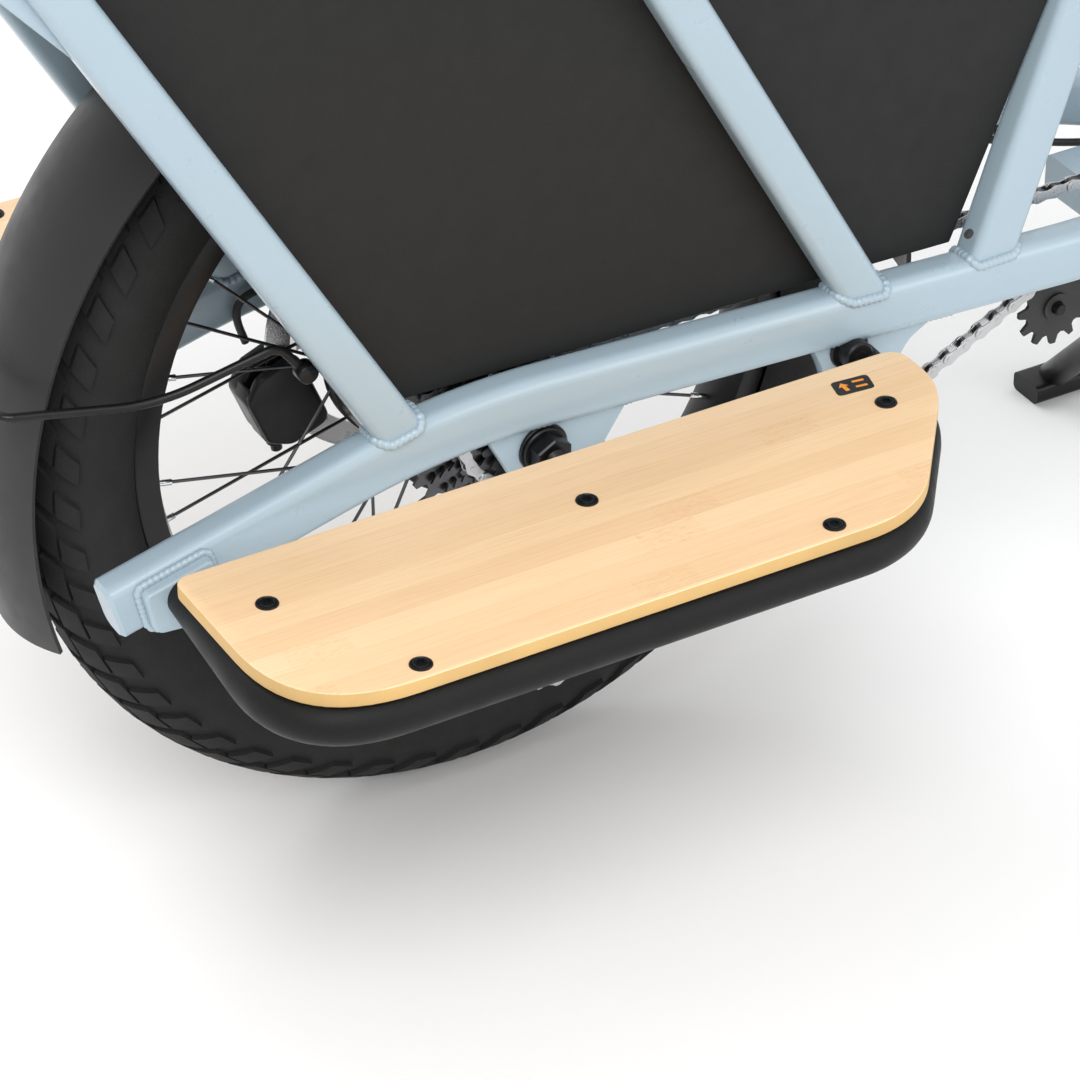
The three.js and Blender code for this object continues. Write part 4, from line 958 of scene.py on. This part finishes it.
def chain():
    """Inner and outer links in turn, with a roller at each pin."""
    line = chain_line()
    run = np.concatenate([[0], np.cumsum(np.linalg.norm(np.diff(line, axis=0), axis=1))])
    count = 2 * round(run[-1] / PITCH / 2)
    s = np.linspace(0, run[-1], count + 1)[:-1]
    pins = np.stack([np.interp(s, run, line[:, i]) for i in range(2)], 1)
    plates, rollers = Shape(), Shape()
    for i in range(count):
        a, b = pins[i], pins[(i + 1) % count]
        d = (b - a) / np.linalg.norm(b - a)
        n = np.array([-d[1], d[0]])
        outline = []
        for c, way in ((a, -1), (b, 1)):
            for k in range(7):
                t = math.radians(-90 + 30 * k)
                outline.append(c + way * (d * math.cos(t) * 4.1 + n * math.sin(t) * 4.1))
        waist = n * 2.9
        outline = outline[:7] + [(a + b) / 2 - waist] + outline[7:] + [(a + b) / 2 + waist]
        wide = 3.05 if i % 2 else 2.1
        for side in (-1, 1):
            y = CHAIN_Y + side * wide
            plates.merge(plate(outline, y - 0.42, y + 0.42, bevel=0.15, rings=1))
        rollers.merge(pin(3.6, a[0], a[1], CHAIN_Y - 1.6, CHAIN_Y + 1.6, 12))
        plates.merge(pin(1.7, a[0], a[1], CHAIN_Y - 3.7, CHAIN_Y + 3.7, 10))
    return plates, rollers


def sprocket(teeth, y0, y1, centre, inner, depth=4.3):
    """A toothed wheel as a ring of quads."""
    r = pitch_r(teeth)
    outer = []
    for i in range(teeth):
        for f, rr in ((-0.30, r - depth * 0.72), (-0.13, r + depth * 0.55), (0.13, r + depth * 0.55),
                      (0.30, r - depth * 0.72), (0.5, r - depth * 0.95)):
            a = 2 * math.pi * (i + f) / teeth
            outer.append((centre[0] + rr * math.cos(a), centre[1] + rr * math.sin(a)))
    m = len(outer)
    inn = [(centre[0] + inner * math.cos(2 * math.pi * (k - 1.5) / m),
            centre[1] + inner * math.sin(2 * math.pi * (k - 1.5) / m)) for k in range(m)]
    verts = [(x, y, z) for y in (y0, y1) for x, z in outer + inn]
    faces = []
    for k in range(m):
        l = (k + 1) % m
        o0, o1, i0, i1 = k, l, m + k, m + l
        up = 2 * m
        faces += [(o0, i0, i1, o1), (o0 + up, o1 + up, i1 + up, i0 + up), (o0, o1, o1 + up, o0 + up),
                  (i0, i0 + up, i1 + up, i1)]
    return fixed(Shape().add(verts, faces))


links, rollers = chain()
make("chain_links", links, STEEL, "frame", "chain", 30)
make("chain_rollers", rollers, DARK_STEEL, "frame", (), 50)
COGS = [(32, -54.5), (28, -58.8), (25, -63.1), (22, -67.4), (20, -71.7), (18, -76), (15, -80.3), (13, -84.6)]
cogs = join(*[sprocket(t, y - 0.9, y + 0.9, (0, 0), 17) for t, y in COGS],
            turn([(15.6, -53), (21, -53), (21, -86), (17, -88), (15.6, -88)], 48))
for k in range(5):
    a = 2 * math.pi * k / 5
    cogs.merge(beam([(20 * math.cos(a), -64, 20 * math.sin(a)),
                     (46 * math.cos(a + 0.3), -60, 46 * math.sin(a + 0.3)),
                      (58 * math.cos(a + 0.5), -57, 58 * math.sin(a + 0.5))], 5, 3, 0.8))
make("cogs", cogs, DARK_STEEL, "cassette", "cassette", 30)
make("chainwheel", join(sprocket(36, -77.3, -74.7, BB, 52), *[
    beam([(BB[0] + 14 * math.cos(a), -80, BB[1] + 14 * math.sin(a)),
           (BB[0] + 56 * math.cos(a), -77, BB[1] + 56 * math.sin(a))], 3.4, 15, 1.2)
    for a in (2 * math.pi * k / 5 for k in range(5))]), BLACK_PART, "cranks", "chainring", 30)
for name, centre, teeth, node_name in (("guide_jockey", GUIDE, 11, "guide_pulley"),
                                       ("tension_jockey", TENSION, 11, "tension_pulley"),
                                       ("idler_jockey", IDLER, 12, "idler_wheel")):
    make(name, join(sprocket(teeth, CHAIN_Y - 1.2, CHAIN_Y + 1.2, centre, 8),
                    turn([(4.4, -79), (9, -79), (9, -73), (4.4, -73)], 32, centre)),
         BLACK_MATTE, node_name, node_name, 30)


def derailleur():
    cage = corners([(GUIDE[0] - 13, GUIDE[1] + 13, 10), (GUIDE[0] + 13, GUIDE[1] + 13, 10),
                    (TENSION[0] + 13, TENSION[1] - 13, 10), (TENSION[0] - 13, TENSION[1] - 13, 10)])
    return join(
        plate(cage, -88, -86, bevel=0.5), plate(cage, -68, -66, bevel=0.5),
        pin(4, *GUIDE, -94, -66, 20, 0.6), pin(4, *TENSION, -89, -66, 20, 0.6),
        beam([(10, -95, -76), (22, -93, -100)], 14, 24, 5),
        pin(9.5, 8, -72, -96.5, -86, 32, 1.5), pin(5, 8, -72, -98.5, -95, 6),
        pin(11, 26, -98, -99, -86, 32, 2.0), pin(4, 26, -98, -100.4, -98, 6))


make("changer", derailleur(), BLACK_PART, "frame", "derailleur", 34)
refined("idler_bracket", BLACK_PART, "frame", 0.6)


def axle_nuts():
    """A washer, a flanged hex nut and the threaded end of the axle on each side."""
    made = pin(6.2, 0, 0, -127, 127, 32, 1.2)
    for side in (-1, 1):
        y = side * 104.3
        made.merge(pin(15.5, 0, 0, y, y + side * 2.4, 40, 0.5))
        made.merge(pin(14.2, 0, 0, y + side * 2.4, y + side * 4.6, 40, 0.8))
        made.merge(pin(12.6, 0, 0, y + side * 4.4, y + side * 15, 6, 1.0))
        for k in range(11):
            thread_y = side * (120.2 + 0.62 * k)
            made.merge(pin(7.0, 0, 0, thread_y - 0.3, thread_y + 0.3, 28, 0.28))
    return made


make("axle_nuts", axle_nuts(), BLACK_PART, "frame", "rear_axle", 30)


CRANK = 165


def crank(side, end):
    """A forged arm, widest at its boss, with a flat pedal boss."""
    y = side * 104
    x = BB[0] + end
    path = np.linspace((BB[0], y, BB[1]), (x, y, BB[1]), 12)
    width = np.linspace(1.12, 0.86, 12)
    arm = beam(path, 13, 25, 5, taper=width)
    ends = [pin(15.5, *BB, y - side * 15, y + side * 8, 40, 1.5), pin(13, x, BB[1], y - 8, y + 8, 40, 1.5),
            pin(7, *BB, y + side * 7, y + side * 9.5, 6, 0.5)]
    if side < 0:
        ends += [pin(12, *BB, -104, 60, 32), pin(30, *BB, -88, -78.4, 48, 2)]
    else:
        ends.append(pin(15, *BB, 53, 90, 32, 1))
    return join(arm, *ends)


for name, way in (("right", -1), ("left", 1)):
    make("crank_arm_" + name, crank(way, -way * CRANK), BLACK_PART, "cranks", "crank_" + name,
         34)


def pedal(side, x):
    """A platform pedal: a rim, two bars, a barrel and rows of pins."""
    y, z = side * 168, BB[1]
    frame_line = rounded(86, 88, 12, 6)
    rail = sweep([(x + a, y + b, z) for a, b in frame_line], rounded(16, 8, 2), side=(0, 0, 1), closed=True)
    parts = [rail, rod((x, side * 98, z), (x, side * 208, z), 8.5, 24, 1),
             rod((x, side * 95, z), (x, side * 120, z), 6, 20)]
    for s in (-1, 1):
        parts.append(beam([(x - 40, y + s * 15, z), (x + 40, y + s * 15, z)], 6, 10, 1.5))
        for k in range(5):
            stud = np.array([x + s * 43, y - 32 + 16 * k, z])
            parts.append(rod(stud - [0, 0, 10.5], stud + [0, 0, 10.5], 1.6, 8))
    return join(*parts)


for name, way in (("right", -1), ("left", 1)):
    make("pedal_body_" + name, pedal(way, BB[0] - way * CRANK), BLACK_MATTE, "pedal_" + name, "pedal_" + name,
         40)


# ---- Brake, stand, battery and lights --------------------------------------------------------------

CALIPER = corners([(-28, 68, 8), (28, 68, 8), (28, 96, 12), (17, 109, 8), (-17, 109, 8), (-28, 96, 12)], 6)
BRIDGE = corners([(-23, 102.5, 1), (23, 102.5, 1), (16, 109.5, 3), (-16, 109.5, 3)], 4)


def turned_about_y(shape, degrees, shift=0):
    c, s = math.cos(math.radians(degrees)), math.sin(math.radians(degrees))
    return shape.moved(lambda v: np.stack([v[:, 0] * c + v[:, 2] * s + shift, v[:, 1],
                                           v[:, 2] * c - v[:, 0] * s], 1))


def caliper(disc_y):
    """Two rounded halves either side of the disc, a bridge over it, a piston cap and a hose fitting."""
    outer, inner = disc_y + 20, disc_y - 10
    body = join(plate(CALIPER, disc_y + 4.8, outer, bevel=3.6, rings=4),
                plate(CALIPER, inner, disc_y - 2.8, bevel=2.6, rings=3),
                plate(BRIDGE, disc_y - 7, disc_y + 9, bevel=0.8),
                pin(14.5, 0, 86, outer - 1, outer + 1.6, 48, 1.0),
                rod((-24, outer - 8, 98), (-36, outer - 8, 101), 5.4, 24, 1.0),
                rod((-34, outer - 8, 100.5), (-41, outer - 8, 102), 3.6, 20, 0.6))
    for x in (-13, 0, 13):
        body.merge(plate(corners([(x - 2.2, 74, 1), (x + 2.2, 74, 1), (x + 2.2, 79, 1), (x - 2.2, 79, 1)], 3),
                         outer - 1, outer + 0.8, bevel=0.3))
    bolts = join(pin(5.2, 0, 86, outer + 1.4, outer + 2.8, 6, 0.4),
                 *[pin(4.4, x, 92, outer - 0.6, outer + 2.6, 24, 0.8) for x in (-20.5, 20.5)])
    return body, bolts


body, bolts = caliper(62)
make("caliper_body", turned_about_y(body, -112), BLACK_PART, "frame", "rear_caliper", 34)
make("caliper_bolts", turned_about_y(bolts, -112), STEEL, "frame", (), 30)
arm = beam([(-60, 88, -10), (-30, 92, -8), (-12, 97, -4)], 8, 22, 3)
make("caliper_adapter", arm, STEEL, "frame", (), 34)
make("rear_hose", tube([(-94, 80, 0), (-104, 82, 32, 24), (330, 83, 18, 60), (500, 52, -22, 40),
                        (530, 46, -23)], 2.5, 14, 12), BLACK_MATTE, "frame",
     "rear_brake_hose", 60)


def stand():
    x, z = STAND
    parts = [pin(8, x, z, -38, 38, 24)]
    for s in (-1, 1):
        leg = [(x, s * 30, z), (x + 3, s * 62, z - 36, 26), (x + 18, s * 150, z - 128)]
        parts.append(tube(leg, 10, 24, 12))
        parts.append(beam([(x - 4, s * 150, z - 131), (x + 40, s * 150, z - 131)], 28, 14, 4))
        parts.append(pin(15, x, z, s * 22.5, s * 38, 40, 1.5))
        parts.append(pin(6, x, z, s * 38, s * 41, 6, 0.6))
    return join(*parts)


make("stand", stand(), BLACK_PART, "stand", "stand_legs", 40)


def battery():
    a, b = steer([(0, 0, 520)])[0], np.array([745, 0, 10.0])
    u = (b - a) / np.linalg.norm(b - a)
    n = np.array([u[2], 0, -u[0]])
    n = n if n[2] > 0 else -n
    lift = 68
    start, end = a + u * 88 + n * lift, a + u * 470 + n * lift
    path = [start, start + u * 4, start + u * 30, start + u * 31, start + u * 33, start + u * 34,
            end - u * 31, end - u * 30, end - u * 28, end - u * 27, end - u * 4, end]
    taper = [0.9, 1, 1, 0.965, 0.965, 1, 1, 0.965, 0.965, 1, 1, 0.9]
    pack = sweep(path, rounded(74, 58, 16, 7), side=(0, 1, 0), taper=taper)
    rail = beam([start - n * 32 + u * 14, end - n * 32 - u * 14], 40, 12, 3)
    m = start + u * 300
    lock = rod(m + np.array([0, -36.4, 0]), m + np.array([0, -38.2, 0]), 9, 28, 0.5)
    slot = rod(m + np.array([0, -38, 0]), m + np.array([0, -38.8, 0]), 4, 20, 0.2)
    return pack, join(rail, lock, slot)


pack, rest = battery()
make("battery_case", pack, BLACK_MATTE, "frame", "battery", 34)
make("battery_rail", rest, BLACK_PART, "frame", (), 34)
refined("tail_light", RED, "frame", 2.0)
refined("seat_collar", BLACK_PART, "frame", 1.0)
refined("collar_lever", BLACK_PART, "collar_lever", 0.8)


# ---- Seat ------------------------------------------------------------------------------------------

def saddle_top():
    """A crowned pad: broad and cupped at the back, narrow and rounded at the nose."""
    rows = [(-129, 60, 0.4), (-124, 82, 0.8), (-108, 94, 1), (-80, 96, 1), (-45, 88, 1), (-10, 68, 1),
            (30, 44, 1), (70, 30, 1), (104, 24, 0.95), (124, 19, 0.8), (131, 11, 0.4)]
    top = along_seat(615)
    verts, faces = [], []
    n = 24
    for x, half, full in rows:
        rise = 66 + 5 * math.cos(math.radians((x + 40) * 0.9)) - 0.02 * max(0, x) - 2
        for k in range(n):
            a = 2 * math.pi * k / n
            c, s = math.cos(a), math.sin(a)
            y = half * math.copysign(abs(c) ** 0.62, c)
            if s >= 0:
                groove = 5 * math.exp(-(y / 14) ** 2) * full * (x > -110)
                z = rise - 22 * full + 21 * full * abs(s) ** 0.7 - groove
            else:
                z = rise - 22 * full - 19 * full * abs(s) ** 0.45
            verts.append((top[0] + x, y, top[2] + 5 + z))
    for i in range(len(rows) - 1):
        for k in range(n):
            l = (k + 1) % n
            faces.append((i * n + k, i * n + l, (i + 1) * n + l, (i + 1) * n + k))
    faces.append(tuple(range(n - 1, -1, -1)))
    faces.append(tuple((len(rows) - 1) * n + k for k in range(n)))
    return fixed(Shape().add(verts, faces)), top


pad, top = saddle_top()
saddle = make("saddle_pad", pad, SKIN, "seat", "saddle", 180, sub=2)
rails = join(*[tube([(top[0] + x, s * y, top[2] + 5 + z, r) for x, y, z, r in
                     ((-96, 30, 32, 0), (-60, 24, 14, 20), (50, 20, 14, 20), (92, 12, 32, 0))], 3.5, 16, 8)
               for s in (-1, 1)])
clamp = join(beam([(top[0] - 20, 0, top[2] + 12), (top[0] + 20, 0, top[2] + 12)], 44, 9, 3),
             beam([(top[0] - 20, 0, top[2] + 23), (top[0] + 20, 0, top[2] + 23)], 44, 7, 3),
             rod((top[0], 0, top[2] + 2), (top[0], 0, top[2] + 26), 4, 20, 0.6),
             rod(along_seat(606), along_seat(628), 18, 32, 2))
make("saddle_rails", rails, STEEL, "seat", (), 50)
make("saddle_clamp", clamp, BLACK_PART, "seat", (), 34)
make("post", rod(along_seat(330), along_seat(616), 15.3, 40, 0.6), BLACK_PART, "seat", "seatpost",
     40)


# ---- Steering --------------------------------------------------------------------------------------

def steered(shape):
    return shape.moved(steer)


def fork():
    crown = beam([(-24, 0, 414), (74, 0, 414)], 176, 27, 9)
    parts = [crown, rod((0, 0, 400), (0, 0, 654), 14.3, 32)]
    parts += [rod((50, s * 66, 397), (50, s * 66, 408), 21, 40, 1.5) for s in (-1, 1)]
    parts += [rod((50, s * 66, 427), (50, s * 66, 431), 13, 32, 1.2) for s in (-1, 1)]
    parts += [rod((0, 0, 430), (0, 0, 441), 27, 48, 1.5), rod((0, 0, 603), (0, 0, 612), 26, 48, 2)]
    return join(*parts)


make("fork_top", steered(fork()), BLACK_PART, "steering", "fork_crown", 34)
make("stanchions", steered(join(*[rod((50, s * 66, 176), (50, s * 66, 401), 15, 40) for s in (-1, 1)])),
     STEEL, "steering", (), 40)


def lowers():
    parts = []
    for s in (-1, 1):
        leg = [(50, s * 66, z) for z in (6, 40, 300, 330, 336)]
        parts.append(sweep(leg, circle(20, 40), taper=[0.8, 0.92, 0.95, 1.0, 1.0]))
        parts.append(rod((50, s * 66, 333), (50, s * 66, 340), 18, 40, 2))
        dropout = corners([(36, -20, 10), (64, -20, 10), (66, 26, 6), (34, 26, 6)])
        parts.append(plate(dropout, s * 56 - 9, s * 56 + 9, bevel=2.5, rings=3))
        parts.append(pin(9, 50, 0, s * 64, s * 74, 6, 1))
    parts.append(tube([(62, -60, 318), (68, -52, 337, 10), (68, 52, 337, 10), (62, 60, 318)], 7, 24, 8))
    parts.append(pin(5.6, 50, 0, -66, 66, 24))
    return join(*parts)


make("fork_legs", steered(lowers()), BLACK_PART, "fork_lowers", "fork_lowers", 36)
body, bolts = caliper(40)
make("front_caliper_body", steered(turned_about_y(body, -62, 50)), BLACK_PART, "fork_lowers", "front_caliper",
     34)
make("front_caliper_bolts", steered(turned_about_y(bolts, -62, 50)), STEEL, "fork_lowers", (), 30)

BAR = [(69, 0, 667), (69, -58, 667, 26), (49, -128, 759, 40), (-29, -335, 755)]
BAR_END, BAR_IN = np.array(BAR[3], float), np.array(BAR[2][:3], float)
INWARD = (BAR_IN - BAR_END) / np.linalg.norm(BAR_IN - BAR_END)


def on_bar(inset_by):
    return BAR_END + INWARD * inset_by


OTHER_HALF = [(x, -y, *rest) for x, y, *rest in BAR[1:]]
make("bar", steered(tube(BAR[:0:-1] + OTHER_HALF, 11.1, 28, 14)), BLACK_PART, "steering", "handlebar",
     50)


def grip():
    path, taper = [], []
    for k in range(61):
        t = 1 + 131 * k / 60
        path.append(on_bar(t))
        ridge = 0.035 if k % 2 else 0
        swell = 1 - 0.06 * math.sin(math.pi * k / 60)
        flange = 0.12 if k < 2 or k > 57 else 0
        taper.append(swell + ridge * (4 < k < 56) + flange)
    return join(sweep(path, circle(15.4, 36), taper=taper), rod(on_bar(-0.5), on_bar(3), 13, 32, 1.5))


def perch():
    x, y, z = on_bar(150)
    collar = rod(on_bar(143), on_bar(158), 17, 36, 1.5)
    neck = beam([(x + 6, y, z), (x + 32, y, z - 2)], 14, 15, 4)
    cylinder = rod((x + 38, y - 6, z - 3), (x + 44, y + 40, z - 5), 8.6, 28, 2)
    hinge = join(rod((x + 44, y - 22, z - 13), (x + 44, y - 22, z - 8.5), 9, 28, 1.2),
                 rod((x + 44, y - 22, z + 0.5), (x + 44, y - 22, z + 5), 9, 28, 1.2),
                 *[sweep([(x + 40, y - 8, h), (x + 44, y - 22, h)], rounded(4, 14, 1), side=(0, 0, 1))
                   for h in (z - 10.5, z + 2.5)])
    return join(collar, neck, cylinder, hinge)


def lever():
    x, y, z = on_bar(150) + np.array([44, -22, -4])
    path = bent([(x - 2, y + 8, z), (x + 10, y - 22, z, 12), (x - 20, y - 108, z - 2)], 10)
    taper = np.linspace(1.05, 0.8, len(path))
    blade = sweep(path, rounded(8, 11, 3, 5), side=(1, 0, 0), taper=taper)
    tip = path[-1]
    return join(blade, sweep([tip + [0.6, 1.5, 0], tip + [0, -1, 0], tip + [0, -4.5, 0]], circle(5.6, 20),
                             taper=[0.8, 1, 0.75]))


def thumb():
    x, y, z = on_bar(173)
    collar = rod(on_bar(168.7), on_bar(179.8), 15, 36, 1.2)
    route = [(x - 10, y + 4, z - 9), (x - 22, y - 7, z - 15), (x - 34, y - 18, z - 20)]
    paddle = sweep(route, rounded(18, 6, 2.5), side=(0.35, 0.93, 0), taper=[0.7, 0.9, 1])
    return join(collar, paddle)


for name, flip in SIDES:
    def sided(shape):
        return steered(on_side(shape, flip))

    make("grip_sleeve_" + name, sided(grip()), GRIP, "steering", "grip_" + name, 40)
    make("lever_perch_" + name, sided(perch()), BLACK_PART, "steering", "lever_clamp_" + name,
         36)
    make("lever_blade_" + name, sided(lever()), BLACK_PART, "brake_lever_" + name, "brake_lever_" + name,
         50)
    thumb_name = "throttle_lever" if flip else "shifter_lever"
    make(thumb_name + "_paddle", sided(thumb()), BLACK_MATTE, thumb_name, thumb_name, 40)


def stem():
    clamp = join(rod((0, 0, 613), (0, 0, 655), 21, 48, 2.5), rod((0, 0, 655), (0, 0, 657.5), 15, 40, 1.2))
    arm = beam([(0, 0, 636), (69, 0, 667)], 34, 30, 9, taper=[1.05, 0.92])
    bar = pin(23.5, 69, 667, -24, 24, 48, 2.5)
    cover = [pin(3, 69 + dx, 667 + dz, s * 17 - 3.5, s * 17 + 3.5, 16, 0.8) for s in (-1, 1)
             for dx, dz in ((18, 16), (20, -14))]
    return join(clamp, arm, bar, *cover)


make("stem_body", steered(stem()), BLACK_PART, "steering", "stem", 36)


def hose_route():
    x, y, z = on_bar(150)
    return [(x + 44, y + 42, z - 5), (x + 46, y + 52, z - 6, 5), (x + 60, y + 90, z - 10, 18),
            (131, -40, 665, 40), (63, -6, 618, 24), (24, -2, 616)]


hose = tube(hose_route(), 2.6, 14, 12)
make("bar_hoses", steered(join(hose, hose.mirrored())), BLACK_MATTE, "steering", "cockpit_hoses",
     60)
case = plate([(69 + a, b) for a, b in rounded(46, 78, 8)], 691.4, 705, "z", 2.0, 3)
glass = plate([(69 + a, b) for a, b in rounded(36, 66, 5)], 704.6, 705.6, "z", 0.4, 2)
make("display_case", steered(case), BLACK_MATTE, "steering", "display", 36)
make("display_glass", steered(glass), SCREEN, "steering", (), 36)
lamp = join(rod((86.4, 0, 440), (112, 0, 440), 27, 48, 3), beam([(84, 0, 412), (84, 0, 440)], 24, 14, 4))
make("lamp_case", steered(lamp), BLACK_MATTE, "steering", "headlight", 36)
lens = rod((111.5, 0, 440), (119.5, 0, 440), 24, 48, 3)
make("lamp_lens", steered(lens), CLEAR, "steering", (), 36)


# ---- Studio ----------------------------------------------------------------------------------------

LIGHTS = (  # name, place and aim in metres, watts
    ("key", (-2.6, -3.2, 4.6), (-0.5, 0, 0.4), 185),
    ("fill", (2.2, -4.2, 2.4), (-0.3, 0, 0.4), 62),
    ("back", (-1.0, 3.6, 3.6), (-0.4, 0, 0.5), 85))
LIGHT_SIZE = 3.0
SKY = 0.88
FLOOR_HALF = 9000
CAMERA_PLACE = (-1078.5, -1960.9, 1409.2)
CAMERA_AIM = (0.4138, 0.7133, -0.5657)
LENS = 151.35


def studio():
    scene = bpy.context.scene
    scene.view_settings.view_transform = "Standard"
    h = FLOOR_HALF
    floor_shape = plate([(-h, -h), (h, -h), (h, h), (-h, h)], -12, -0.4, "z", 1, 1)
    mesh = bpy.data.meshes.new("floor")
    verts = np.concatenate(floor_shape.v) / 1000
    mesh.from_pydata(verts.tolist(), [], floor_shape.f)
    floor = bpy.data.objects.new("floor", mesh)
    scene.collection.objects.link(floor)
    m, tree, b = new_material("floor", (0.86, 0.86, 0.86), 0.9)
    drift = ramp(tree, noise(tree, coords(tree), 3), [(0.3, (0.85,)), (0.7, (0.87,))])
    tree.links.new(drift, b.inputs["Base Color"])
    mesh.materials.append(m)
    world = bpy.data.worlds.new("studio")
    scene.world = world
    world.use_nodes = True
    back = world.node_tree.nodes["Background"]
    back.inputs["Color"].default_value = (1, 1, 1, 1)
    back.inputs["Strength"].default_value = SKY
    for name, place, aim, power in LIGHTS:
        data = bpy.data.lights.new(name, "AREA")
        data.size, data.energy = LIGHT_SIZE, power
        light = bpy.data.objects.new(name, data)
        light.location = place
        light.rotation_euler = (Vector(aim) - Vector(place)).to_track_quat("-Z", "Y").to_euler()
        scene.collection.objects.link(light)


def camera():
    data = bpy.data.cameras.new("camera")
    data.sensor_width = 36
    data.lens = LENS
    data.clip_end = 60
    o = bpy.data.objects.new("camera", data)
    o.location = row([CAMERA_PLACE])[0].tolist()
    o.rotation_euler = Vector(CAMERA_AIM).to_track_quat("-Z", "Y").to_euler()
    bpy.context.scene.collection.objects.link(o)
    bpy.context.scene.camera = o


studio()
camera()
